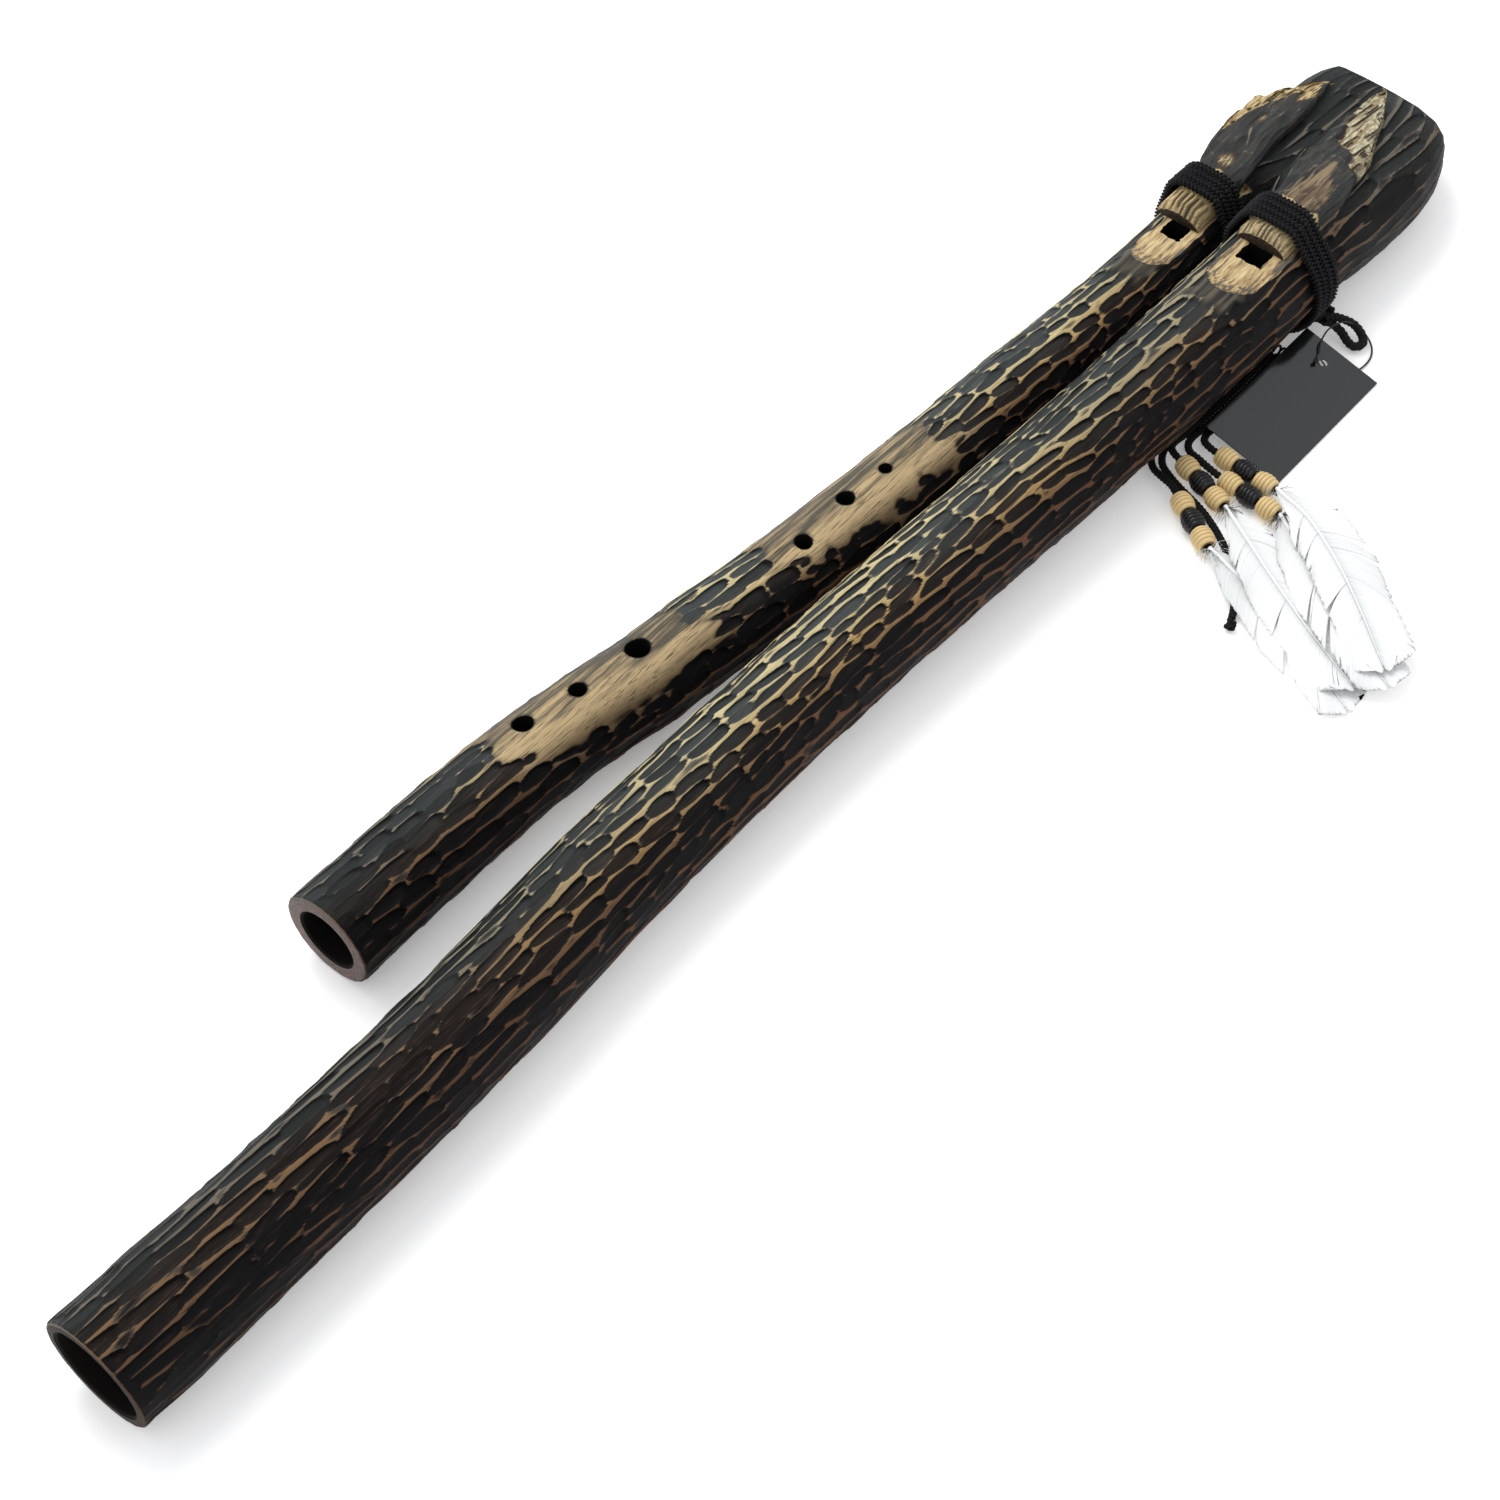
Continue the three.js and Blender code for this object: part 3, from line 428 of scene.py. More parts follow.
def feather_piece(row, seed):
    chance = np.random.default_rng(seed)
    heading, reach, crest, tip = feather_plans[row]
    line = strand_lines[row]
    base = line[-1] - 2.0 * unit(line[-1] - line[-3])
    ahead = np.array([math.cos(math.radians(heading)), math.sin(math.radians(heading)), 0])
    aside = np.array([-ahead[1], ahead[0], 0])
    heights = [(0, base[2] + 0.8), (0.22, crest * feather_length), (0.5, crest * feather_length),
               (1, tip * feather_length)]

    def spine(u):
        even = np.linspace(0, 1, 101)
        smooth = np.convolve(np.pad(between(even, heights), 10, mode="edge"), np.ones(21) / 21,
                             mode="valid")
        bow = 3.2 * np.sin(math.pi * np.clip(u, 0, 1.1)) * (1 if seed % 2 else -1)
        path = base + u[..., None] * reach * feather_length * ahead + bow[..., None] * aside
        path[..., 2] = np.interp(u, even, smooth)
        return path

    points, faces, fold_shade_and_grey_base, barb = [], [], [], []

    def sheet(grid, shade, phase):
        """One panel of a vane as a thin closed skin."""
        rows, columns = grid.shape[:2]
        half = rows * columns
        skin = []
        for i in range(rows - 1):
            for k in range(columns - 1):
                a, b = i * columns + k, (i + 1) * columns + k
                skin += [(a, a + 1, b + 1, b), (a + half, b + half, b + 1 + half, a + 1 + half)]
        last = (rows - 1) * columns
        rim = (list(range(columns)) + [i * columns + columns - 1 for i in range(1, rows)]
               + [last + k for k in range(columns - 2, -1, -1)]
               + [i * columns for i in range(rows - 2, 0, -1)])
        skin += [(b, a, a + half, b + half) for a, b in zip(rim, rim[1:] + rim[:1])]
        top = grid.reshape(-1, 3)
        add_skin(points, faces, (np.vstack([top, top + [0, 0, vane_thickness]]), skin))
        fold_shade_and_grey_base.extend(np.tile(shade.ravel(), 2).tolist())
        barb.extend(np.tile(phase.ravel(), 2).tolist())

    def rod(path, radius, sides, shade):
        """The quill, or one wisp of fluff."""
        _, side, rise = along_frames(path)
        count = add_skin(points, faces, tube_mesh(path, side, rise, radius, sides))
        fold_shade_and_grey_base.extend([shade] * count)
        barb.extend([0.0] * count)

    for hand in (-1, 1):
        splits = np.sort(chance.uniform(0.15, 0.9, 4))
        ends = np.concatenate([[0.0], splits, [0.985]])
        for first, last in zip(ends, ends[1:]):
            count = max(6, int((last - first) * 130))
            u = np.linspace(first, last, count)[:, None]
            s = np.linspace(0, 1, 13)[None, :]
            ragged = 1 + 0.022 * chance.normal(0, 1, (count, 1)) * (s > 0.8)
            full = between(np.clip(u + 0.07, 0, 1), vane_shares) * feather_half * ragged
            full *= 0.8 if hand < 0 else 1
            full *= chance.uniform(0.9, 1.08)
            run = 15 + 5 * np.sin(u * 5 + hand + seed)
            closing = (u - first) / (last - first) - 0.5
            along = u + (run * s**1.3 - 1.8 * closing * s**2) / (reach * feather_length)
            place_here = spine(np.minimum(along, 1 - 0.06 * s**2))
            fold = 2.0 * np.sin(u * 9 + seed * 1.7 + hand) + 1.1 * np.sin(u * 21 + seed + hand * 2)
            lift = (-1.7 * s**2 + 0.8 * fold * s**1.6) * np.clip(full / 12, 0, 1)
            lift += chance.uniform(-0.2, 0.2) * s
            grid = place_here + hand * (0.2 + full * s**0.95)[..., None] * aside
            grid[..., 2] = np.maximum(grid[..., 2] + lift, 0.12 + 0.1 * (seed % 3))
            # Painted shade along the quill, in bands across the vane and at its edge; greyer towards the
            # base.
            shade = np.clip(0.40 * np.exp(-s * 7) + 0.16 * np.sin(u * 9 + seed + 1.2) * s
                            + 0.35 * np.exp(-u * 9) + 0.12 * (s > 0.93) + 0.1 * chance.random(), 0, 1)
            phase = (u * feather_length + seed * 31 + hand * 70) * np.ones_like(s)
            sheet(grid, shade, phase)
    quill_at = np.linspace(0, 0.97, 90)
    rod(spine(quill_at) + [0, 0, 0.25], np.interp(quill_at, [0, 1], [1.0, 0.18]), 8, 0.1)
    white_faces = len(faces)
    for _ in range(70 if row == "d" else 26):
        heading_off, long = chance.uniform(-1.5, 1.5), chance.uniform(5, 13)
        way = ahead * math.cos(heading_off) + aside * math.sin(heading_off)
        curl = np.cumsum(chance.normal(0, 0.22, barb_ends))
        t = np.linspace(0, 1, barb_ends)
        wisp = base + np.outer(t * long, way) + np.outer(curl, np.cross(way, [0, 0, 1.0]))
        wisp[:, 2] += 3.4 * np.sin(t * 2.6) * chance.uniform(0.3, 1)
        wisp[:, 2] = np.maximum(wisp[:, 2], 0.4)
        rod(wisp, np.linspace(0.16, 0.05, barb_ends), 4, 0.3)
    piece = mesh_piece(f"white_plume_{row}", in_frame(np.vstack(points)), faces, feather_white)
    piece.data.materials.append(down_grey.material)
    for face in piece.data.polygons[white_faces:]:
        face.material_index = int(row in "bd" or face.index % 3 == 0)
    give_value(piece, "fold_shade_and_grey_base", fold_shade_and_grey_base)
    give_value(piece, "barb", barb)
    fitted(piece, f"feather_{row}")


for seed, row in enumerate("abcd", start=3):
    feather_piece(row, seed)


# The hang tag is a bare black laminated card. Its gloss mirrors the bright room, so it looks grey
# where it faces the room and black where it faces the barrel.
gloss_card = finish("gloss_card", Base_Color=(0.006, 0.007, 0.007, 1), Roughness=0.12, IOR=1.6)
for part_slot in bpy.data.objects["hang_tag"].material_slots:
    part_slot.material = gloss_card.material


# The barrels are two hollowed branches, burnt black, gouged all over in long overlapping scoops,
# then rubbed so that the ridges between the scoops show pale wood. They are glued at the head.
facet = math.cos(math.pi / 20)
lift_at_ties = 4.1 * facet
drone_radius = 24.6
drone_sounding = 676
head_length = 161
mouth_end = drone_sounding + head_length
melody_radius = 21.15
melody_sounding = 501.5
melody_window = drone_sounding + 3.5
melody_foot = melody_window - melody_sounding
melody_foot_aside = 67.5
scoop_pitch = 4.9
scoop_sway, sway_wave = 1.9, 43
finest_along = 1.45
finest_around = 0.52
end_rounding, rounding_reach = 1.1, 1.4

drone_run_shares = [
    [0.000, 0.012, 1.000, 0.00], [0.044, -0.024, 1.012, 0.00], [0.104, -0.037, 0.976, 0.02],
    [0.192, -0.045, 0.965, 0.11], [0.296, 0.012, 0.963, 0.23], [0.399, 0.146, 0.955, 0.34],
    [0.503, 0.171, 0.943, 0.45], [0.607, 0.122, 0.947, 0.57], [0.710, 0.004, 0.951, 0.68],
    [0.814, -0.138, 0.965, 0.80], [0.917, -0.244, 1.004, 0.91]]
drone_head_shares = [
    [0.000, -0.285, 1.024, 1.024, 1.00, 2.0], [0.286, -0.285, 1.024, 1.024, 1.00, 2.0],
    [0.366, -0.203, 1.138, 0.976, 1.01, 2.3], [0.460, -0.081, 1.260, 0.919, 1.01, 2.7],
    [0.547, 0.000, 1.341, 0.898, 1.01, 3.0], [0.652, 0.020, 1.346, 0.878, 1.01, 3.0],
    [0.745, 0.061, 1.305, 0.846, 1.06, 3.0], [0.826, 0.142, 1.220, 0.801, 1.21, 3.0],
    [0.894, 0.264, 1.098, 0.736, 1.45, 3.0], [0.950, 0.427, 0.915, 0.650, 1.85, 3.0],
    [0.981, 0.569, 0.732, 0.549, 2.34, 3.0], [1.000, 0.711, 0.589, 0.427, 2.96, 3.0]]
melody_run_shares = [
    [0.000, 1.000, 1.000, 0.00], [0.124, 1.001, 0.993, 0.00], [0.211, 0.987, 0.965, 0.10],
    [0.253, 0.960, 0.946, 0.15], [0.297, 0.916, 0.946, 0.20], [0.339, 0.859, 0.950, 0.25],
    [0.393, 0.819, 0.946, 0.31], [0.483, 0.738, 0.931, 0.41], [0.582, 0.679, 0.917, 0.53],
    [0.682, 0.634, 0.903, 0.64], [0.782, 0.609, 0.889, 0.75], [0.881, 0.566, 0.875, 0.87]]
melody_head_shares = [
    [0.000, 0.545, 0.856, 0.856, 1.00, 2.0], [0.270, 0.545, 0.856, 0.856, 1.00, 2.0],
    [0.352, 0.519, 0.946, 0.898, 1.03, 2.3], [0.448, 0.459, 1.135, 0.908, 1.03, 2.7],
    [0.537, 0.444, 1.182, 0.903, 1.03, 3.0], [0.644, 0.443, 1.177, 0.889, 1.03, 3.0],
    [0.740, 0.440, 1.173, 0.865, 1.08, 3.0], [0.822, 0.437, 1.158, 0.832, 1.23, 3.0],
    [0.892, 0.430, 1.125, 0.780, 1.48, 3.0], [0.949, 0.407, 1.040, 0.700, 1.85, 3.0],
    [0.981, 0.378, 0.922, 0.605, 2.34, 3.0], [1.000, 0.348, 0.804, 0.473, 2.96, 3.0]]
finger_hole_shares = [
    [0.2262, 0.199, 0.213], [0.2787, 0.095, 0.180], [0.3400, 0.142, 0.253],
    [0.5105, -0.118, 0.180], [0.5695, 0.076, 0.192], [0.6165, 0.043, 0.137]]


def flowing(at, knots, values):
    """A smooth curve through values that never swings past them."""
    knots, values = np.array(knots, float), np.array(values, float)
    gap = np.diff(knots)
    slope = np.diff(values) / gap
    tangent = np.zeros(len(knots))
    same = slope[:-1] * slope[1:] > 0
    tangent[1:-1][same] = 2 * (slope[:-1] * slope[1:])[same] / (slope[:-1] + slope[1:])[same]
    tangent[0], tangent[-1] = slope[0], slope[-1]
    i = np.clip(np.searchsorted(knots, at, side="right") - 1, 0, len(gap) - 1)
    t = (at - knots[i]) / gap[i]
    return eased(t, gap[i], values[i], values[i + 1], tangent[i], tangent[i + 1])


def soft_step(low, high, value):
    t = np.clip((value - low) / (high - low), 0, 1)
    return t * t * (3 - 2 * t)


def mottle(x, y, seed):
    """Smooth noise from 0 to 1, one cell to a unit, that repeats after 64 cells."""
    table = np.random.default_rng(seed).random((64, 64))
    x, y = np.broadcast_arrays(x, y)
    i, j = np.floor(x).astype(int), np.floor(y).astype(int)
    u, v = x - i, y - j
    u, v = u * u * (3 - 2 * u), v * v * (3 - 2 * v)
    i, j = i % 64, j % 64
    near = table[i, j] * (1 - v) + table[i, (j + 1) % 64] * v
    far = table[(i + 1) % 64, j] * (1 - v) + table[(i + 1) % 64, (j + 1) % 64] * v
    return near * (1 - u) + far * u


def branch_rings(run, head, foot, window, radius, sway_unit):
    """Knots of a branch: place, sway, half width, half height, height of the middle, squareness."""
    rows = [[foot + a * (window - foot), s * sway_unit, g * radius, g * radius, lift, 2.0]
            for a, s, g, lift in run]
    rows += [[window + a * (mouth_end - window), s * sway_unit, w * radius, t * radius, lift, q]
             for a, s, w, t, lift, q in head]
    rows = np.array(rows)
    rows[:, 4] = lift_at_ties * rows[:, 4] + rows[:, 3] * facet ** (2 / rows[:, 5])
    return rows


def ring_values(rings, at):
    """Sway, half width, half height, middle height and squareness at any place."""
    return [flowing(np.asarray(at, float), rings[:, 0], rings[:, k]) for k in (1, 2, 3, 4, 5)]


def branch_skin(rings, around):
    """A grid of points over the whole branch, evenly spaced round each ring."""
    foot = rings[0, 0]
    count = int((mouth_end - foot) / finest_along)
    stations = np.concatenate([[0, 0.25, 0.7], np.linspace(1.4, mouth_end - foot - 2.4, count),
                               mouth_end - foot - np.array([1.5, 0.8, 0.3, 0])]) + foot
    sway, wide, tall, middle, square = ring_values(rings, stations)
    edge = np.minimum(stations - foot, mouth_end - stations)
    short = 1 - np.clip(edge / rounding_reach, 0, 1)
    rounding = end_rounding * (1 - np.sqrt(np.clip(1 - short ** 2, 0, 1)))
    wide, tall = wide - rounding, tall - rounding
    turn = np.linspace(0, 2 * math.pi, 721)
    power = (2 / square)[:, None]
    across = np.sign(np.cos(turn)) * np.abs(np.cos(turn)) ** power * wide[:, None]
    above = np.sign(np.sin(turn)) * np.abs(np.sin(turn)) ** power * tall[:, None]
    arc = np.cumsum(np.hypot(np.diff(across, axis=1), np.diff(above, axis=1)), axis=1)
    arc = np.hstack([np.zeros((len(stations), 1)), arc])
    share = np.arange(around) / around
    grid = np.empty((len(stations), around, 3))
    for i in range(len(stations)):
        marks = share * arc[i, -1]
        grid[i, :, 0] = stations[i]
        grid[i, :, 1] = sway[i] + np.interp(marks, arc[i], across[i])
        grid[i, :, 2] = middle[i] + np.interp(marks, arc[i], above[i])
    return stations, share, arc[:, -1], grid


def outward(grid):
    """The direction out of the skin at each of its points."""
    lengthwise = np.gradient(grid, axis=0)
    roundwise = np.roll(grid, -1, axis=1) - np.roll(grid, 1, axis=1)
    normal = np.cross(roundwise, lengthwise)
    normal[:, :, 0] = 0
    return unit(normal)


def gouge(stations, share, girth, seed, long_at, deep_at):
    """How deep the gouge has cut at each point, below zero where it has not, and a tone per cut.

    The scoops lie in rows along the branch, end over end, and the deepest cut wins.
    """
    dice = np.random.default_rng(seed)
    rows = int(round(girth / scoop_pitch))
    around = share * girth
    cut = np.full((len(stations), len(share)), -0.3)
    tone = np.full((len(stations), len(share)), 0.5)
    for row in range(rows):
        x = stations[0] - dice.uniform(0, 22)
        drift = dice.uniform(-1, 1, 64).cumsum() * 0.22
        while x < stations[-1] + 15:
            long = between(x, long_at) * dice.uniform(0.7, 1.6)
            half = dice.uniform(2.4, 3.8) * (1 - 0.10 * (long > 30))
            deep = between(x, deep_at) * dice.uniform(0.65, 1.3)
            sway = scoop_sway * math.sin(x / sway_wave + row * 0.7) + drift[int(abs(x) / 16) % 64]
            middle = (row + 0.5) * girth / rows + dice.uniform(-0.9, 0.9) + sway
            skew = dice.normal(0, 0.06) + scoop_sway / sway_wave * math.cos(x / sway_wave + row * 0.7)
            shade, narrow, bend = dice.random(), dice.uniform(0, 0.7), dice.normal(0, 0.16)
            first, last = np.searchsorted(stations, [x - long * 0.56, x + long * 0.54])
            if last > first:
                gap = (around - middle + girth / 2) % girth - girth / 2
                columns = np.nonzero(np.abs(gap) < half * 1.2 + abs(skew) * long * 0.6)[0]
                a = (stations[first:last, None] - x) / (long / 2)
                b = (gap[None, columns] - skew * (stations[first:last, None] - x)) / half
                b = b * (1 + narrow * np.clip(-a, 0, 1)) + bend * a * a
                blunt = np.where(a > 0, np.abs(a) ** 4, np.abs(a) ** 2.5)
                new = 1 - blunt - np.abs(b) ** 2.3
                ramp = deep * (0.42 + 0.58 * (a + 1) / 2)
                new = np.where(new > 0, ramp * np.clip(new, 0, 1) ** 0.7, np.clip(new, -0.3, 0))
                old = cut[first:last, columns]
                better = new > old
                cut[first:last, columns] = np.where(better, new, old)
                tones = tone[first:last, columns]
                tone[first:last, columns] = np.where(better, shade, tones)
            x += long * dice.uniform(0.68, 0.92)
    return cut, tone


def averaged(field, along, around):
    """Box average of a field that closes round its second side."""
    tall = np.pad(field, ((along, along), (0, 0)), mode="edge")
    field = sum(tall[i:i + len(field)] for i in range(2 * along + 1)) / (2 * along + 1)
    return sum(np.roll(field, i, axis=1) for i in range(-around, around + 1)) / (2 * around + 1)


def take_in_hand(piece):
    bpy.ops.object.select_all(action="DESELECT")
    bpy.context.view_layer.objects.active = piece
    piece.select_set(True)


def box_cutter(low, high):
    low, high = place(*low), place(*high)
    bpy.ops.object.select_all(action="DESELECT")
    bpy.ops.mesh.primitive_cube_add(size=1, location=(low + high) / 2, scale=high - low)
    bpy.ops.object.transform_apply(location=True, rotation=True, scale=True)
    return bpy.context.object


def outline_cutter(outline, low, high, upright=True):
    """A solid with an outline seen from above, or from the side, between two depths."""
    count = len(outline)
    points = [(x, v, depth) if upright else (x, depth, v) for depth in (low, high) for x, v in outline]
    faces = [tuple(range(count)), tuple(range(count, 2 * count))]
    faces += [(i, (i + 1) % count, count + (i + 1) % count, count + i) for i in range(count)]
    cutter = mesh_piece("cutter", in_frame(points), faces)
    skin = bmesh.new()
    skin.from_mesh(cutter.data)
    bmesh.ops.recalc_face_normals(skin, faces=skin.faces)
    skin.to_mesh(cutter.data)
    skin.free()
    return cutter


def rod_cutter(start, end, radius):
    start, end = place(*start), place(*end)
    bpy.ops.object.select_all(action="DESELECT")
    bpy.ops.mesh.primitive_cylinder_add(vertices=72, radius=radius / 1000, depth=(end - start).length)
    rod = bpy.context.object
    rod.matrix_world = Matrix.Translation((start + end) / 2) @ (end - start).to_track_quat(
        "Z", "Y").to_matrix().to_4x4()
    bpy.ops.object.transform_apply(location=True, rotation=True, scale=True)
    return rod


def carve_away(piece, cutter, look, keep=False, operation="DIFFERENCE"):
    """Cuts one solid from another; the new walls take the cutter's material."""
    if not cutter.data.materials:
        cutter.data.materials.append(look.material)
    take_in_hand(piece)
    step = piece.modifiers.new("cut", "BOOLEAN")
    step.object = cutter
    step.operation = operation
    step.solver = "MANIFOLD"
    step.material_mode = "TRANSFER"
    bpy.ops.object.modifier_apply(modifier=step.name)
    if not keep:
        bpy.data.objects.remove(cutter)


def bore_cutter(rings, end, foot_bore, top_bore):
    """The air column: a smooth tapering tube that follows the branch, a little wider at its foot."""
    foot = rings[0, 0]
    stations = np.concatenate([[foot - 6, foot - 0.6, foot, foot + 0.9], np.arange(foot + 5, end, 5),
                               [end]])
    sway, _, _, middle, _ = ring_values(rings, np.clip(stations, foot, None))
    radius = np.interp(stations, [foot, end], [foot_bore, top_bore])
    radius[stations <= foot] += 0.9
    path = np.stack([stations, sway, middle], axis=1)
    level = np.tile([0, 1.0, 0], (len(path), 1))
    points, faces = tube_mesh(path, level, np.tile([0, 0, 1.0], (len(path), 1)), radius, 72)
    return mesh_piece("bore", in_frame(points), faces)


drone_rings = branch_rings(drone_run_shares, drone_head_shares, 0, drone_sounding, drone_radius,
                           drone_radius)
melody_rings = branch_rings(melody_run_shares, melody_head_shares, melody_foot, melody_window,
                            melody_radius, melody_foot_aside)


class Wood(Finish):
    """A wooden surface: its grain, and the steps that its tones are put together from."""

    def __init__(self, name, **values):
        super().__init__(bpy.data.materials.new(name), **values)

    def math(self, operation, *inputs):
        return self.step("Math", dict(enumerate(inputs)), operation=operation)

    def added(self, value, share, base):
        return self.math("MULTIPLY_ADD", value, share, base)

    def mixed(self, share, first, second, how="MIX"):
        return self.step("Mix", {0: share, 6: first, 7: second}, 2, data_type="RGBA", blend_type=how)

    def gained(self, colour, gain):
        """A colour made darker or lighter by a number that changes over the surface."""
        return self.mixed(1.0, colour, self.step("CombineColor", {0: gain, 1: gain, 2: gain}),
                          "MULTIPLY")

    def fibres(self, long, fine, detail=4.0):
        """Noise drawn out along the branch: one fibre is long mm by fine mm."""
        where = self.step("TexCoord", {}, "Object")
        stretched = self.step("Mapping", {"Vector": where, "Scale": (1000 / long, 1000 / fine,
                                                                     1000 / fine)})
        return self.step("TexNoise", {"Vector": stretched, "Scale": 1.0, "Detail": detail,
                                      "Roughness": 0.6})


# Painted light: the char is lighter and cooler on top, a painted sheen of the bright room,
# browner on the sides and near black on the side away from the lamp, painted shade.
char_top_painted_light = (0.036, 0.041, 0.040, 1)
brown_char_and_side_shade = (0.024, 0.0175, 0.0135, 1)
char_painted_deep_shade = (0.0055, 0.0050, 0.0056, 1)
straw = (0.55, 0.465, 0.255, 1)
gold = (0.47, 0.315, 0.13, 1)
copper = (0.13, 0.066, 0.036, 1)
sanded = (0.45, 0.335, 0.182, 1)
weathered = (0.088, 0.078, 0.060, 1)
pore = (0.075, 0.055, 0.036, 1)
singed = (0.085, 0.045, 0.026, 1)
charcoal = (0.008, 0.006, 0.005, 1)

wood = carved_wood = Wood("carved_wood", Roughness=0.5, Specular_IOR_Level=0.05)
stands, scoop_tone, walls, rubbed, side_light_and_copper, painted_shade, sanding, charred, polish, lit_side, faint = (
    measured(wood, name) for name in ("ridge", "tone", "wall", "rub", "copper_and_side_light", "painted_shade", "sand", "char",
                                      "polish", "lit", "faint"))
fine_grain = wood.fibres(14, 0.55)
broad_grain = wood.fibres(22, 2.4, 3.0)
long_streaks = wood.fibres(46, 2.8, 4.0)
level = stands
for part, share in ((fine_grain, 0.95), (broad_grain, 0.75), (rubbed, 0.85), (sanding, 0.5),
                    (faint, -0.12)):
    level = wood.added(part, share, level)
dull = wood.ranged(level, 1.90, 2.05)
ridge = wood.ranged(level, 2.17, 2.42)
# Painted shade: on the side away from the lamp the char goes near black.
dark = wood.mixed(painted_shade, wood.mixed(side_light_and_copper, char_top_painted_light, brown_char_and_side_shade), char_painted_deep_shade)
dark = wood.gained(dark, wood.ranged(scoop_tone, 0, 1, 0.66, 1.38))
dark = wood.gained(dark, wood.ranged(faint, 0, 1, 1.0, 0.50))
dark = wood.gained(dark, wood.ranged(fine_grain, 0.3, 0.7, 0.82, 1.2))
singe = wood.math("MULTIPLY", side_light_and_copper, wood.ranged(fine_grain, 0.54, 0.68))
singe = wood.math("MULTIPLY", singe, wood.ranged(broad_grain, 0.40, 0.62))
dark = wood.mixed(wood.math("MULTIPLY", singe, 0.8), dark, singed)
dark = wood.mixed(wood.math("MULTIPLY", painted_shade, 0.85), dark, char_painted_deep_shade)
# Painted shade on scoop walls turned from the lamp, and a painted highlight on those facing it.
dark = wood.gained(dark, wood.ranged(walls, 0.10, 0.60, 1.0, 0.08))
dark = wood.gained(dark, wood.ranged(lit_side, 0.08, 0.60, 1.0, 1.6))
# Painted shade: the pale ridges go dark copper on the side away from the lamp.
pale = wood.mixed(painted_shade, wood.mixed(side_light_and_copper, straw, gold), copper)
pale = wood.gained(pale, wood.ranged(fine_grain, 0.3, 0.68, 0.55, 1.12))
grey_rub = wood.mixed(side_light_and_copper, (0.10, 0.098, 0.086, 1), (0.165, 0.092, 0.048, 1))
pale = wood.mixed(faint, pale, wood.mixed(painted_shade, grey_rub, singed))
worn = wood.mixed(side_light_and_copper, (0.115, 0.112, 0.088, 1), (0.085, 0.054, 0.032, 1))
worn = wood.mixed(faint, worn, (0.048, 0.042, 0.036, 1))
# Painted shade: the worn ridges go darker on the side away from the lamp.
worn = wood.mixed(painted_shade, worn, (0.030, 0.018, 0.012, 1))
colour = wood.mixed(ridge, wood.mixed(dull, dark, worn), pale)
# The sanded wood is paler along long streaks and where the painted side tint is high.
streaks_and_side_tint = wood.added(side_light_and_copper, 0.34, long_streaks)
smooth_wood = wood.mixed(wood.ranged(streaks_and_side_tint, 0.47, 0.70), weathered, sanded)
smooth_wood = wood.mixed(wood.ranged(fine_grain, 0.34, 0.46), pore, smooth_wood)
smooth_wood = wood.gained(smooth_wood, wood.ranged(sanding, 0.15, 0.85, 0.38, 1.0))
# Painted shade: the sanded wood goes browner on the side away from the lamp.
smooth_wood = wood.mixed(wood.ranged(painted_shade, 0.2, 1.0, 0.0, 0.85), smooth_wood, (0.085, 0.054, 0.030, 1))
sand_edge = wood.ranged(wood.added(long_streaks, 0.9, sanding), 0.74, 1.02)
colour = wood.mixed(sand_edge, colour, smooth_wood)
dusty = wood.mixed(wood.ranged(long_streaks, 0.42, 0.62), (0.030, 0.029, 0.026, 1),
                   (0.105, 0.092, 0.068, 1))
colour = wood.mixed(polish, colour, dusty)
wood.wire(wood.mixed(charred, colour, charcoal))
wood.wire(wood.ranged(ridge, 0, 1, 0.46, 0.66), "Roughness")
wood.relief(fine_grain, 0.7, 0.0006)

burnt_bore = Wood("burnt_bore", Base_Color=(0.007, 0.006, 0.005, 1), Roughness=0.75,
                  Specular_IOR_Level=0.08)
burnt_bore.relief(burnt_bore.fibres(20, 1.0), 0.4, 0.0005)


def nest_wood(name, window_place, beside, reach_foot, reach_aside):
    """Pale bare wood round a window, with a burnt, fuzzy, rounded edge towards the foot."""
    wood = Wood(name, Roughness=0.55, Specular_IOR_Level=0.25)
    grain = wood.fibres(9, 0.35)
    wide_grain = wood.fibres(12, 1.7, 3.0)
    middle = place(window_place, beside, 0)
    at_x, at_y = (wood.step("SeparateXYZ", {"Vector": wood.step("TexCoord", {}, "Object")}, axis)
                  for axis in "XY")
    footwards = wood.ranged(at_x, middle.x, middle.x - reach_foot / 1000)
    sideways = wood.math("MULTIPLY", wood.math("SUBTRACT", at_y, middle.y), 1000 / reach_aside)
    sideways = wood.math("POWER", wood.math("ABSOLUTE", sideways), 2.4)
    away = wood.math("ADD", wood.math("POWER", footwards, 2.2), sideways)
    away = wood.added(grain, 1.0, wood.added(wide_grain, 4.8, away))
    burnt, part_burnt = wood.ranged(away, 3.62, 3.82), wood.ranged(away, 2.85, 3.72)
    bare = wood.mixed(wood.ranged(grain, 0.32, 0.60), (0.33, 0.23, 0.105, 1), (0.66, 0.52, 0.28, 1))
    bare = wood.mixed(part_burnt, bare, (0.27, 0.17, 0.075, 1))
    soot_and_groove_shade = wood.mixed(wood.ranged(wide_grain, 0.42, 0.62), (0.022, 0.021, 0.018, 1),
                      (0.125, 0.108, 0.078, 1))
    wood.wire(wood.mixed(burnt, bare, soot_and_groove_shade))
    wood.relief(grain, 0.3, 0.0003)
    return wood


end_grain = Wood("end_grain", Roughness=0.6)
speck = end_grain.noise(900, 5, 0.65)
end_grain.wire(end_grain.mixed(end_grain.ranged(speck, 0.35, 0.65), (0.030, 0.017, 0.014, 1),
                               (0.145, 0.088, 0.070, 1)))
end_grain.relief(speck, 0.4, 0.0003)

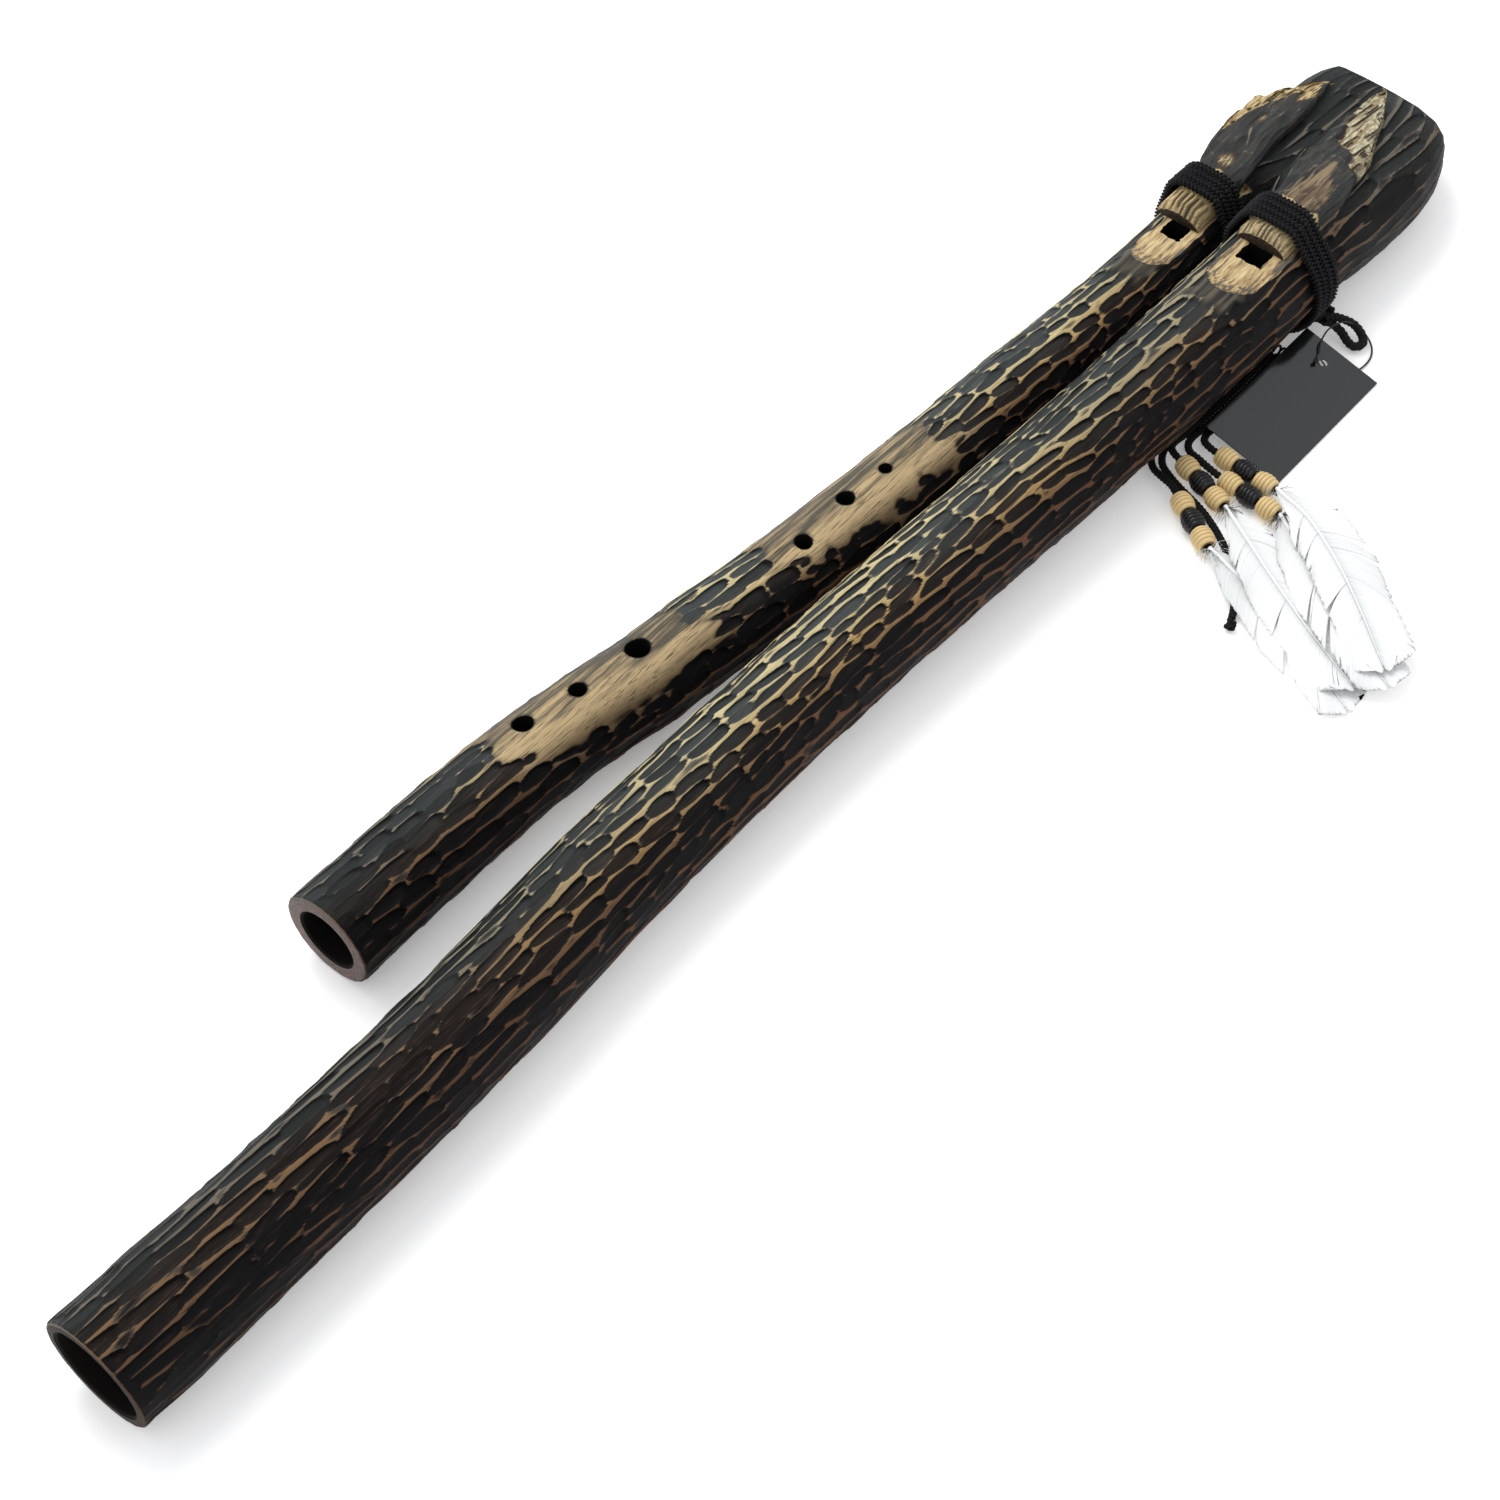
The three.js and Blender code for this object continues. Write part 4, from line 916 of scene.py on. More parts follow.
burnt_end = Wood("burnt_end", Roughness=0.6, Specular_IOR_Level=0.1)
burnt_end.wire(burnt_end.mixed(burnt_end.ranged(burnt_end.fibres(1.5, 1.5), 0.4, 0.7), charcoal,
                               (0.045, 0.028, 0.018, 1)))


def build_barrel(name, rings, around, seed, rub_knots, fields, foot_wood):
    """The whole carved branch as one closed skin with its values for the material."""
    stations, share, girth_here, grid = branch_skin(rings, around)
    normal = outward(grid)
    girth = float(np.median(girth_here))
    cut, tone = gouge(stations, share, girth, seed, fields["long"], fields["deep"])
    x = stations[:, None]
    crown = (share[None, :] - 0.25) * girth_here[:, None]
    sand, smooth, char = fields["sand"](x, crown), fields["smooth"](x, crown), fields["char"](grid)
    flat = np.clip(soft_step(0.3, 0.75, sand) + smooth, 0, 1)
    rim = np.clip((x - stations[0]) / 3, 0.35, 1) * np.clip((stations[-1] - x) / 14, 0.25, 1)
    depth = np.clip(cut, 0, None) * rim * (1 - flat)
    stand = averaged(depth, 2, 4) - depth
    ridge = np.clip(stand / 0.22, 0, 1.5) + 0.35 * (cut < 0) * (1 - flat)
    sand = (sand + 0.45 * np.clip(stand / 0.2, 0, 1) - 0.6 * np.clip(depth / 0.6, 0, 1)) * (sand > 0.02)
    # Painted shade on the scoop walls that face away from the lamp, across the barrel and at the
    # scoops' blunt ends, and a painted highlight on the walls that face it.
    slope_round = (np.roll(depth, -1, axis=1) - np.roll(depth, 1, axis=1)) / (2 * girth / around)
    slope_along = np.clip(-np.gradient(depth, stations, axis=0), 0, None)
    wall = np.clip(1.25 * np.clip(slope_round, 0, 1) + 2.4 * slope_along, 0, 1)
    lit = np.clip(-1.1 * slope_round - 0.5 * slope_along, 0, 1)
    depth += 0.07 * mottle(x / 9, share[None, :] * girth / 2.3, seed + 5) * (depth > 0.05)
    depth += fields["press"](grid)
    grid = grid - normal * depth[:, :, None]
    grid[:, :, 2] = np.maximum(grid[:, :, 2], 0.02)
    grid[0, :, 0], grid[-1, :, 0] = stations[0], stations[-1]
    whole = mesh_piece(name, in_frame(grid.reshape(-1, 3)), ring_faces(len(stations), around),
                       carved_wood)
    whole.data.materials.append(foot_wood.material)
    whole.data.polygons[len(whole.data.polygons) - 2].material_index = 1
    rub = between(stations, rub_knots)[:, None]
    patch = mottle(x / 31, share[None, :] * girth / 24, seed + 9)
    # Painted shade: strong on the side that faces away from the lamp and lower down, weaker at the head,
    # scaled for each barrel, with a little more towards the drone's foot.
    facing = -normal[:, :, 1]
    painted_shade = np.clip(soft_step(0.10, 0.80, facing - 0.12 * normal[:, :, 2])
                    * fields["shaded"] * (1 - 0.5 * soft_step(690, 740, x)) + fields["dim"](x), 0, 1)
    # Painted light: a warmer, browner tint on the sides turned away from the lamp, in patches and less
    # at the head; a coppery stretch towards the drone's foot is added on the sides facing that way.
    copper_and_side_light = soft_step(-0.25, 0.62, facing) * (0.55 + 0.7 * patch)
    copper_and_side_light *= 1 - 0.55 * soft_step(690, 740, x)
    copper_and_side_light = np.clip(copper_and_side_light + fields["copper_and_side_light"](x) * soft_step(-0.45, 0.05, facing), 0, 1)
    # Painted shade: fewer pale ridges on the side away from the lamp.
    rub = np.clip(rub * (0.66 + 0.62 * patch) - 0.24 * painted_shade, 0, 1) * np.ones_like(cut)
    ridge[stations - stations[0] < 0.5] = 1.4
    for key, values in dict(ridge=ridge, tone=tone, wall=wall, rub=rub, copper_and_side_light=copper_and_side_light, painted_shade=painted_shade, sand=sand,
                            char=char, polish=smooth, lit=lit,
                            faint=fields["faint"](x) * np.ones_like(cut)).items():
        give_value(whole, key, values)
    return whole


# Each window: where it starts, its middle across, its length and width, and its nest's height.
nest_high = {"drone": 50.2, "melody": 36.8}
drone_window = (drone_sounding, -0.285 * drone_radius + 1.8, 12.5, 12.6, nest_high["drone"])
melody_window_place = (melody_window, 0.545 * melody_foot_aside + 0.6, 11.5, 10.4, nest_high["melody"])


def burnished(start, half):
    """The patch before a nest, rubbed smooth instead of gouged."""
    def field(x, crown):
        edge = half * (0.75 + 0.5 * mottle(x / 5, 0 * crown + np.sign(crown) * 2, 6))
        patch = soft_step(start - 9, start - 1, x) * soft_step(1.15, 0.75, np.abs(crown) / edge)
        return patch * (x < start + 60)
    return field


drone_whole = build_barrel(
    "drone_whole", drone_rings, int(2 * math.pi * drone_radius / finest_around), 11,
    [(0, 0.80), (120, 0.80), (290, 0.95), (420, 1), (640, 1), (700, 0.72), (760, 0.66), (837, 0.56)],
    {"long": [(0, 30), (120, 26), (300, 21), (650, 20), (720, 32), (837, 38)],
     "deep": [(0, 0.9), (150, 1.0), (300, 1.1), (640, 1.05), (720, 1.0)],
     "sand": lambda x, crown: np.zeros(crown.shape),
     "smooth": burnished(drone_sounding - 29, 12),
     "char": lambda grid: np.zeros(grid.shape[:2]),
     "press": lambda grid: np.interp(grid[:, :, 0], [785, 808, 820, 828, 837], [0, 3.6, 2.9, 2.4, 0.9])
     * soft_step(2, glue_aside, grid[:, :, 1]) * (grid[:, :, 2] > 30),
     "shaded": 1.0, "dim": lambda x: 0.15 * soft_step(230, 60, x),
     "faint": lambda x: 0.9 * soft_step(350, 150, x) + 0.5 * soft_step(480, 610, x)
     + 0.45 * soft_step(675, 715, x),
     "copper_and_side_light": lambda x: 0.85 * soft_step(330, 130, x)},
    burnt_end)

holes = []
for along, aside, radius in finger_hole_shares:
    hole_x = melody_foot + along * melody_sounding
    sway = float(ring_values(melody_rings, [hole_x])[0][0])
    holes.append((hole_x, sway + aside * melody_radius, radius * melody_radius))


def melody_sanding(x, crown):
    """Two stretches rubbed smooth round the finger holes of each hand."""
    frayed = x + 17 * (mottle(crown / 4.5, 0 * x + 2, 9) - 0.5) - 0.45 * crown
    stretch = np.maximum(soft_step(262, 284, frayed) * soft_step(386, 360, frayed),
                         soft_step(408, 428, frayed) * soft_step(530, 504, frayed))
    across = np.abs(crown + 1.0 + 5 * (mottle(x / 17, 0 * crown, 3) - 0.5))
    reach = 14.5 + 8 * (mottle(x / 8, np.sign(crown) + 0 * x, 8) - 0.5)
    return stretch * np.clip(1.35 - across / reach / 1.45, 0, 1)


def melody_rims(grid, depth, width):
    """A band round each finger hole, on the upper side."""
    band = np.zeros(grid.shape[:2])
    top = grid[:, :, 2] > 30
    for x, y, radius in holes:
        away = np.hypot(grid[:, :, 0] - x, grid[:, :, 1] - y) - radius
        band = np.maximum(band, np.where(top, depth * np.clip(1 - away / width, 0, 1) ** 1.5, 0))
    return band


melody_whole = build_barrel(
    "melody_whole", melody_rings, int(2 * math.pi * melody_radius / finest_around), 23,
    [(178, 0.5), (230, 0.65), (275, 0.88), (330, 1), (640, 1), (690, 0.72), (750, 0.66), (837, 0.56)],
    {"long": [(178, 22), (260, 21), (320, 19), (650, 18), (720, 30), (837, 36)],
     "deep": [(178, 0.85), (260, 1.0), (640, 1.0), (720, 0.9)],
     "sand": melody_sanding, "smooth": burnished(melody_window - 29, 10),
     "char": lambda grid: melody_rims(grid, 1.0, 0.9), "press": lambda grid: melody_rims(grid, 0.6, 1.6),
     "shaded": 1.08, "dim": lambda x: 0 * x, "copper_and_side_light": lambda x: 0 * x,
     "faint": lambda x: 0.9 * soft_step(300, 215, x) + 0.3 * soft_step(590, 660, x)
     + 0.65 * soft_step(675, 715, x)},
    end_grain)


def ragged_window(low, high, seed):
    """A window's outline, as cut by hand with a small knife."""
    chance = np.random.default_rng(seed)
    corners = [(low[0], low[1]), (high[0], low[1]), (high[0], high[1]), (low[0], high[1])]
    outline = []
    for (x0, y0), (x1, y1) in zip(corners, corners[1:] + corners[:1]):
        for t in np.linspace(0.06, 0.94, 7):
            across, beside = chance.normal(0, 0.27, 2)
            outline.append((x0 + (x1 - x0) * t + across, y0 + (y1 - y0) * t + beside))
    return outline


# Cutters stand out past the wood, and above all of it.
overrun = 8
over_all = 120
glue_spread, glue_lead = 29.5, 76
notch_depth, notch_long = 4.7, 21
blow_height = 22.5
blow_radius = 3.5
shelf_ramp, shelf_run = 29, 14


def cut_wind_way(whole, rings, window, foot_bore, top_bore, nest_back, air_radius, air_height, blow, wood):
    """Bore, window, flue, air chamber, blow hole and nest, as the branch is hollowed."""
    start, middle, long, wide, nest = window
    end = start + long
    axis, _, _, height, _ = (float(value[0]) for value in ring_values(rings, [start]))
    low, high = middle - wide / 2, middle + wide / 2
    air_start, air_end = end + 13, mouth_end - 24
    flue_end = air_start + long / 2
    shelf = [(start - shelf_ramp, nest + 5), (start - shelf_run, nest), (nest_back, nest),
             (nest_back, nest + 16), (start - shelf_ramp, nest + 16)]
    carve_away(whole, outline_cutter(shelf, -60, over_all, upright=False), wood)
    carve_away(whole, bore_cutter(rings, end, foot_bore, top_bore), burnt_bore)
    opening = ragged_window((start, low), (end, high), int(long * 10))
    above = nest + overrun
    for cutter in (outline_cutter(opening, height, above),
                   box_cutter((end - 0.3, low, nest - 1.2), (flue_end, high, above)),
                   box_cutter((air_start, low, air_height), (flue_end, high, above)),
                   rod_cutter((air_start, axis, air_height), (air_end, axis, air_height), air_radius)):
        carve_away(whole, cutter, burnt_bore)
    inner = np.array([air_end - air_radius, axis, air_height])
    lip = np.array([mouth_end, blow, blow_height])
    carve_away(whole, rod_cutter(inner, lip + unit(lip - inner) * overrun, blow_radius), burnt_bore)


def parting(side):
    """What lies beyond the parting between the barrels: the glue face, leaning away to the feet."""
    far = glue_aside + side * 180
    beyond = mouth_end + overrun
    return outline_cutter([(-overrun, glue_aside + glue_spread), (drone_sounding - glue_lead, glue_aside),
                           (beyond, glue_aside), (beyond, far), (-overrun, far)], -overrun, over_all)


def tie_notch(start, side):
    """The notch between the barrels that a tie passes through."""
    low, high = sorted((glue_aside - side * notch_depth, glue_aside + side * overrun))
    return box_cutter((start, low, -overrun), (start + notch_long, high, over_all))


def mouth_slope():
    """What lies beyond the mouth end, which is rounded in plan and slopes back towards its top."""
    edge = [(760, -43), (786.6, -34.3), (805.2, -28.9), (820.4, -22.2), (829.4, -15.0), (835.6, -6.4),
            (839.0, 5.2), (840.2, 18.2), (840.6, 27.7), (840.7, 37.1), (840.4, 46.5), (838.4, 54.5),
            (831, 66), (870, 64), (870, -70), (760, -70)]
    cutter = outline_cutter(edge, 24, 70)
    for corner in cutter.data.vertices:
        above = corner.co.z - 0.024
        corner.co.x -= 1.1 * above
        corner.co.y -= 0.49 * above
    return cutter


drone_nest = nest_wood("drone_nest_wood", drone_sounding + 2, drone_window[1] - 1, 25, 13.5)
melody_nest = nest_wood("melody_nest_wood", melody_window + 2, melody_window_place[1] - 1, 27, 12.2)
cut_wind_way(drone_whole, drone_rings, drone_window, 19.4, 18.2, mouth_end + 8, 13, 25.5, 10, drone_nest)
cut_wind_way(melody_whole, melody_rings, melody_window_place, 13.2, 11.8, melody_window + 48.5, 10.5,
             22.3, 28, melody_nest)
for whole, side, notch_start in ((drone_whole, 1, 690), (melody_whole, -1, 698)):
    for cutter in (parting(side), mouth_slope(), tie_notch(notch_start, side)):
        carve_away(whole, cutter, carved_wood)
for x, y, radius in holes:
    carve_away(melody_whole, rod_cutter((x, y, 22), (x, y, 60), radius), burnt_bore)


def split_barrel(whole, barrel, seam):
    """The branch was split, hollowed and glued again along its middle height."""
    above = box_cutter((-20, -120, seam), (mouth_end + 20, 160, 160))
    for half, operation in (("upper", "INTERSECT"), ("lower", "DIFFERENCE")):
        piece = whole.copy()
        piece.data = whole.data.copy()
        piece.name = piece.data.name = f"carved_{barrel}_{half}"
        bpy.context.collection.objects.link(piece)
        carve_away(piece, above, burnt_bore, keep=True, operation=operation)
        take_in_hand(piece)
        bpy.ops.object.shade_smooth_by_angle(angle=math.radians(42))
        fitted(piece, f"{barrel}_barrel_{half}")
    bpy.data.objects.remove(above)
    bpy.data.objects.remove(whole)


split_barrel(drone_whole, "drone", drone_radius * facet)
split_barrel(melody_whole, "melody", melody_radius * facet)


# The blocks sit in the nests over the flues and are tied down. Each is raw split wood: a pale lip
# with gouged grooves in front of its tie, and behind it a long splintered tail, part burnt.
lip_outline = [[-1, 0], [1, 0], [1, 0.24], [0.84, 0.58], [0.5, 0.87], [0, 1], [-0.5, 0.87], [-0.84, 0.58],
               [-1, 0.24]]
plank_outline = [[-1, 0], [1, 0], [1, 0.55], [0.86, 0.86], [0.46, 1], [0, 1], [-0.46, 1], [-0.86, 0.86],
                 [-1, 0.55]]
drone_block_shares = [
    [0.000, -0.98, 0.92, 0.62, 0], [0.027, -1, 1, 1, 0], [0.195, -1, 1, 1, 0],
    [0.340, -1.08, 1.12, 0.97, 0], [0.435, -0.90, 1.36, 0.93, 0], [0.600, -0.64, 1.42, 0.72, 0.10],
    [0.735, -0.04, 1.40, 0.48, 0.26], [0.850, 0.40, 1.44, 0.24, 0.41],
    [0.950, 0.96, 1.44, -0.06, 0.55], [1.000, 1.18, 1.36, -0.30, 0.60]]
melody_block_shares = [
    [0.000, -0.98, 0.98, 0.56, 0], [0.027, -1, 1, 1, 0], [0.264, -1, 1, 1, 0],
    [0.292, -1.06, 1.10, 1.02, -0.63], [0.384, -0.96, 1.34, 1.12, -0.66],
    [0.510, -0.78, 1.44, 1.34, -0.66], [0.630, -0.80, 1.52, 1.34, -0.66],
    [0.700, -0.80, 1.50, 1.26, -0.65], [0.735, -0.78, 1.22, 1.20, -0.64],
    [0.810, -0.66, 1.00, 1.10, -0.60], [0.850, -0.60, 0.66, 1.00, -0.56],
    [0.930, -0.46, 0.42, 0.84, -0.49], [1.000, -0.30, -0.10, 0.62, -0.42]]

wood = split_wood = Wood("split_wood", Roughness=0.6, Specular_IOR_Level=0.15)
raw, groove, grey, brown, crest = (measured(wood, name)
                                   for name in ("raw", "groove", "grey", "brown", "crest"))
grain = wood.fibres(15, 0.45)
wide_grain = wood.fibres(22, 1.9, 3.0)
streaked = wood.added(wide_grain, 0.9, wood.added(grain, 0.75, raw))
bare = wood.ranged(streaked, 1.30, 1.48)
streaks = wood.ranged(grain, 0.36, 0.60)
honey = wood.mixed(streaks, (0.21, 0.135, 0.060, 1), (0.62, 0.475, 0.24, 1))
aged = wood.mixed(streaks, (0.19, 0.15, 0.090, 1), (0.66, 0.60, 0.41, 1))
aged = wood.mixed(wood.ranged(wide_grain, 0.52, 0.40), aged, (0.25, 0.19, 0.105, 1))
pale = wood.mixed(grey, honey, aged)
smoke = wood.mixed(wood.ranged(wide_grain, 0.35, 0.65), (0.020, 0.023, 0.024, 1), (0.048, 0.045, 0.038, 1))
bark = wood.mixed(wood.ranged(wide_grain, 0.40, 0.60), (0.060, 0.040, 0.026, 1), (0.235, 0.175, 0.105, 1))
smoke = wood.mixed(wood.ranged(wood.added(wide_grain, 0.9, brown), 0.85, 1.05), smoke, bark)
lines = wood.ranged(wood.added(wide_grain, 0.8, crest), 1.12, 1.38)
smoke = wood.mixed(lines, smoke, (0.20, 0.175, 0.125, 1))
smoke = wood.mixed(wood.ranged(streaked, 1.08, 1.34), smoke, (0.115, 0.072, 0.038, 1))
# Painted shade: the lip's grooves and the tail's cracks are near black.
colour = wood.mixed(groove, wood.mixed(bare, smoke, pale), (0.020, 0.017, 0.013, 1))
wood.wire(colour)
wood.relief(grain, 0.6, 0.0006)

lip_end = Wood("lip_end", Roughness=0.6, Specular_IOR_Level=0.15)
lip_end.wire(lip_end.mixed(lip_end.ranged(lip_end.fibres(3, 1.2), 0.35, 0.65), (0.012, 0.009, 0.007, 1),
                           (0.045, 0.030, 0.018, 1)))


def block_skin(shares, start, long, width, height, centre, nest, around, step, tie_end):
    """The block's skin as a fine grid: places along it, and round each of its sections."""
    rows = np.array(shares)
    stations = np.arange(0, long + step / 2, step) / long
    stations = np.unique(np.concatenate([stations, rows[:, 0], [0.001, 0.004]]))
    low, high, top, drop = (np.interp(stations, rows[:, 0], rows[:, k]) for k in (1, 2, 3, 4))
    rounded = np.clip(1 - stations * long / 0.5, 0, 1) ** 2
    bottom, crown = nest + 0.3 - drop * height, nest + 0.3 + top * height
    middle, half = centre + (low + high) * width / 4, (high - low) * width / 4
    lip, plank = (np.array(outline + outline[:1], dtype=float)
                  for outline in (lip_outline, plank_outline))
    grid = np.empty((len(stations), around, 3))
    share = np.arange(around) / around
    for i in range(len(stations)):
        flat = soft_step(tie_end - 8, tie_end + 6, start + stations[i] * long)
        corners = lip * (1 - flat) + plank * flat
        y = middle[i] + corners[:, 0] * (half[i] - 0.25 * rounded[i])
        z = bottom[i] + (corners[:, 1] * (crown[i] - bottom[i] - 0.3 * rounded[i]))
        arc = reach_along(np.column_stack([y, z]))
        marks = share * arc[-1]
        grid[i, :, 0] = start + stations[i] * long
        grid[i, :, 1], grid[i, :, 2] = np.interp(marks, arc, y), np.interp(marks, arc, z)
    return stations * long, grid, bottom


def splinter(x, y, seed):
    """Split wood in terraces: long flat steps with torn ends, in millimetres."""
    terrace = mottle(x / 15, y / 2.3, seed) * 3.6
    steps = np.floor(terrace) + soft_step(0.80, 1.0, terrace % 1)
    return steps * 0.75 + 0.4 * mottle(x / 8, y / 0.9, seed + 1) + 0.9 * mottle(x / 26, y / 5.5, seed + 2)


def facets(x, y, seed, count, low, high):
    """Shallow hollows that meet in sharp ridges: how deep they are, and how near a ridge is."""
    dice = np.random.default_rng(seed)
    spots = dice.uniform(low, high, (count, 2))
    away = np.sort(np.hypot((x[..., None] - spots[:, 0]) / 8, (y[..., None] - spots[:, 1]) / 4.6), axis=-1)
    return 1 - np.clip(away[..., 0], 0, 1) ** 2, 1 - np.clip((away[..., 1] - away[..., 0]) / 0.13, 0, 1)


def within(x, y, outline):
    """Where a point seen from above lies inside an outline."""
    inside = np.zeros(x.shape, dtype=bool)
    for (x0, y0), (x1, y1) in zip(outline, outline[1:] + outline[:1]):
        beside = (x1 - x0) * (y - y0) / ((y1 - y0) or 1e-9) + x0
        inside ^= ((y0 > y) != (y1 > y)) & (x < beside)
    return inside


def spot(x, y, middle, reach):
    """A soft round patch, 1 at its middle."""
    return np.exp(-((x - middle[0]) / reach[0]) ** 2 - ((y - middle[1]) / reach[1]) ** 2)


def block_piece(name, body, shares, size, tie_end, seed, looks):
    """One block: grooves in its lip, and terraces, hollows and torn sides on its tail."""
    around = 190  # points round the block
    along, grid, bottom = block_skin(shares, *size, around, 0.65, tie_end)
    normal = outward(grid)
    x, y, z = (grid[:, :, k] for k in range(3))
    span = (y - y.min(axis=1, keepdims=True)) / np.ptp(y, axis=1)[:, None]
    up = np.clip(normal[:, :, 2], 0, 1) * (z > bottom[:, None] + 0.4)
    lip = soft_step(tie_end - 15, tie_end - 17.5, x)
    tail = soft_step(tie_end + 2, tie_end + 9, x)
    pitch, furrow_depth = looks["furrow"]
    wander = 0.9 * mottle(x / 7, y / 2.5, seed + 4) + 0.5 * mottle(x / 30, y / 1.5, seed + 3)
    furrow = np.abs(np.sin((y + wander) * math.pi / pitch)) ** 1.6
    furrow *= soft_step(0.25, 0.6, mottle(x / 5, y / pitch, seed + 11) + 0.25)
    groove_depth = furrow_depth * furrow * up * lip
    loose_x = x + 7 * (mottle(x / 6, y / 3, seed + 12) - 0.5)
    loose_y = y + 3 * (mottle(x / 9, y / 3, seed + 13) - 0.5)
    raw = averaged(looks["raw"](loose_x, loose_y, span) * np.ones_like(x), 2, 4)
    brown, grey = looks["brown"](loose_x, loose_y), looks["grey"](x)
    torn = tail * np.clip(raw, 0, 1) * (0.35 + 0.65 * up)
    hollow, edge = facets(x, y, seed + 20, 26, [tie_end, y.min()], [tie_end + 70, y.max()])
    smooth = tail * (1 - np.clip(raw, 0, 1)) * up
    depth = groove_depth + torn * np.clip(splinter(x, y, seed) * 1.2, 0, 4.6) + 1.4 * smooth * hollow
    jag = tail * looks["jag"](x, span) * 4.2 * mottle(x / 3.4, np.sign(span - 0.5) * 3, seed + 7) ** 1.5
    sideways = np.sign(normal[:, :, 1]) * (np.abs(normal[:, :, 1]) > 0.6)
    # Painted shade in the cracks where the torn terraces step down.
    crack = np.abs(np.roll(depth, -1, axis=1) - np.roll(depth, 1, axis=1)) * around / 180
    crack = np.clip((crack - 0.2) / 0.7, 0, 1) * tail
    grid = grid.copy()
    grid[:, :, 2] -= np.where(up > 0.3, depth, 0)
    grid[:, :, 1] -= sideways * (jag + 0.5 * mottle(x / 8, z / 1.2, seed + 8) * tail)
    grid[:, :, 2] = np.maximum(grid[:, :, 2], bottom[:, None] + np.where(z > bottom[:, None] + 0.1, 0.3, 0))
    piece = mesh_piece(name, in_frame(grid.reshape(-1, 3)), ring_faces(len(along), around), split_wood)
    piece.data.materials.append(lip_end.material)
    piece.data.polygons[len(piece.data.polygons) - 2].material_index = 1
    # Painted shade: how dark the lip's grooves and the tail's cracks are painted.
    groove_and_crack_shade = np.clip(furrow * up * lip * looks["soot_and_groove_shade"] + crack * 0.9, 0, 1)
    for key, values in dict(raw=raw, groove=groove_and_crack_shade, grey=grey, brown=brown, crest=edge * smooth).items():
        give_value(piece, key, values)
    take_in_hand(piece)
    bpy.ops.object.shade_smooth_by_angle(angle=math.radians(32))
    fitted(piece, body, body)


torn_end = [(770, 18), (774, 9), (763, 5), (757, -3), (752, -7), (749, -13), (763, -22), (800, -14), (830, 6),
            (830, 22)]
# Per block: the lip's furrow pitch and depth, how dark its grooves are painted as shade, and where its tail
# is jagged, bare, brown and grey.
drone_looks = {
    "furrow": (2.2, 0.5), "soot_and_groove_shade": 0.95,
    "jag": lambda x, span: soft_step(740, 752, x),
    "raw": lambda x, y, span: np.where(x < 712, 1.0, 0) + 1.0 * within(x, y, torn_end)
    + 0.35 * spot(x, y, (752, -12), (8, 4)),
    "brown": lambda x, y: spot(x, y, (720, -6), (15, 11)) + 0.5 * spot(x, y, (741, -3), (7, 5)),
    "grey": lambda x: 0.25 + 0.75 * soft_step(735, 750, x)}
golden_rim = [(745, 62), (746, 53.5), (755, 51.0), (764, 48.6), (772, 47.6), (780, 44.4), (789, 41.2),
              (806, 36), (815, 40), (815, 62)]
melody_looks = {
    "furrow": (2.75, 0.85), "soot_and_groove_shade": 1.0,
    "jag": lambda x, span: soft_step(750, 764, x) * (0.2 + 0.8 * (span > 0.5)),
    "raw": lambda x, y, span: np.where(x < 718, 1.25, 0) + 1.05 * within(x, y, golden_rim)
    + 0.9 * spot(x, y, (788, 37.5), (11, 2.0)) + 0.7 * spot(x, y, (757, 43), (5, 1.6))
    + 0.62 * spot(x, y, (727, 42), (8, 5)),
    "brown": lambda x, y: 0.35 * spot(x, y, (775, 46), (14, 6)),
    "grey": lambda x: 0 * x + 0.6 * soft_step(720, 726, x) * soft_step(745, 735, x)}
drone_centre = float(ring_values(drone_rings, [700.5])[0][0]) + 2.7
melody_centre = float(ring_values(melody_rings, [708.5])[0][0]) + 3.0
block_piece("split_drone_block", "drone_block", drone_block_shares,
            (drone_sounding + 11, 128, 25.4, 9.4, drone_centre, nest_high["drone"]), 709, 41, drone_looks)
block_piece("split_melody_block", "melody_block", melody_block_shares,
            (melody_window + 10.2, 118.5, 22.6, 9.8, melody_centre, nest_high["melody"]), 717, 57,
            melody_looks)


# Each block is tied down with four turns of the black lace, side by side, through the notch
# between the barrels.
def hull_loop(points):
    """The outline of points in a plane, as a closed loop."""
    points = sorted(map(tuple, points))

    def chain(run):
        out = []
        for q in run:
            while len(out) > 1 and ((out[-1][0] - out[-2][0]) * (q[1] - out[-2][1])
                                    - (out[-1][1] - out[-2][1]) * (q[0] - out[-2][0])) <= 0:
                out.pop()
            out.append(q)
        return out[:-1]
    return np.array(chain(points) + chain(reversed(points)))


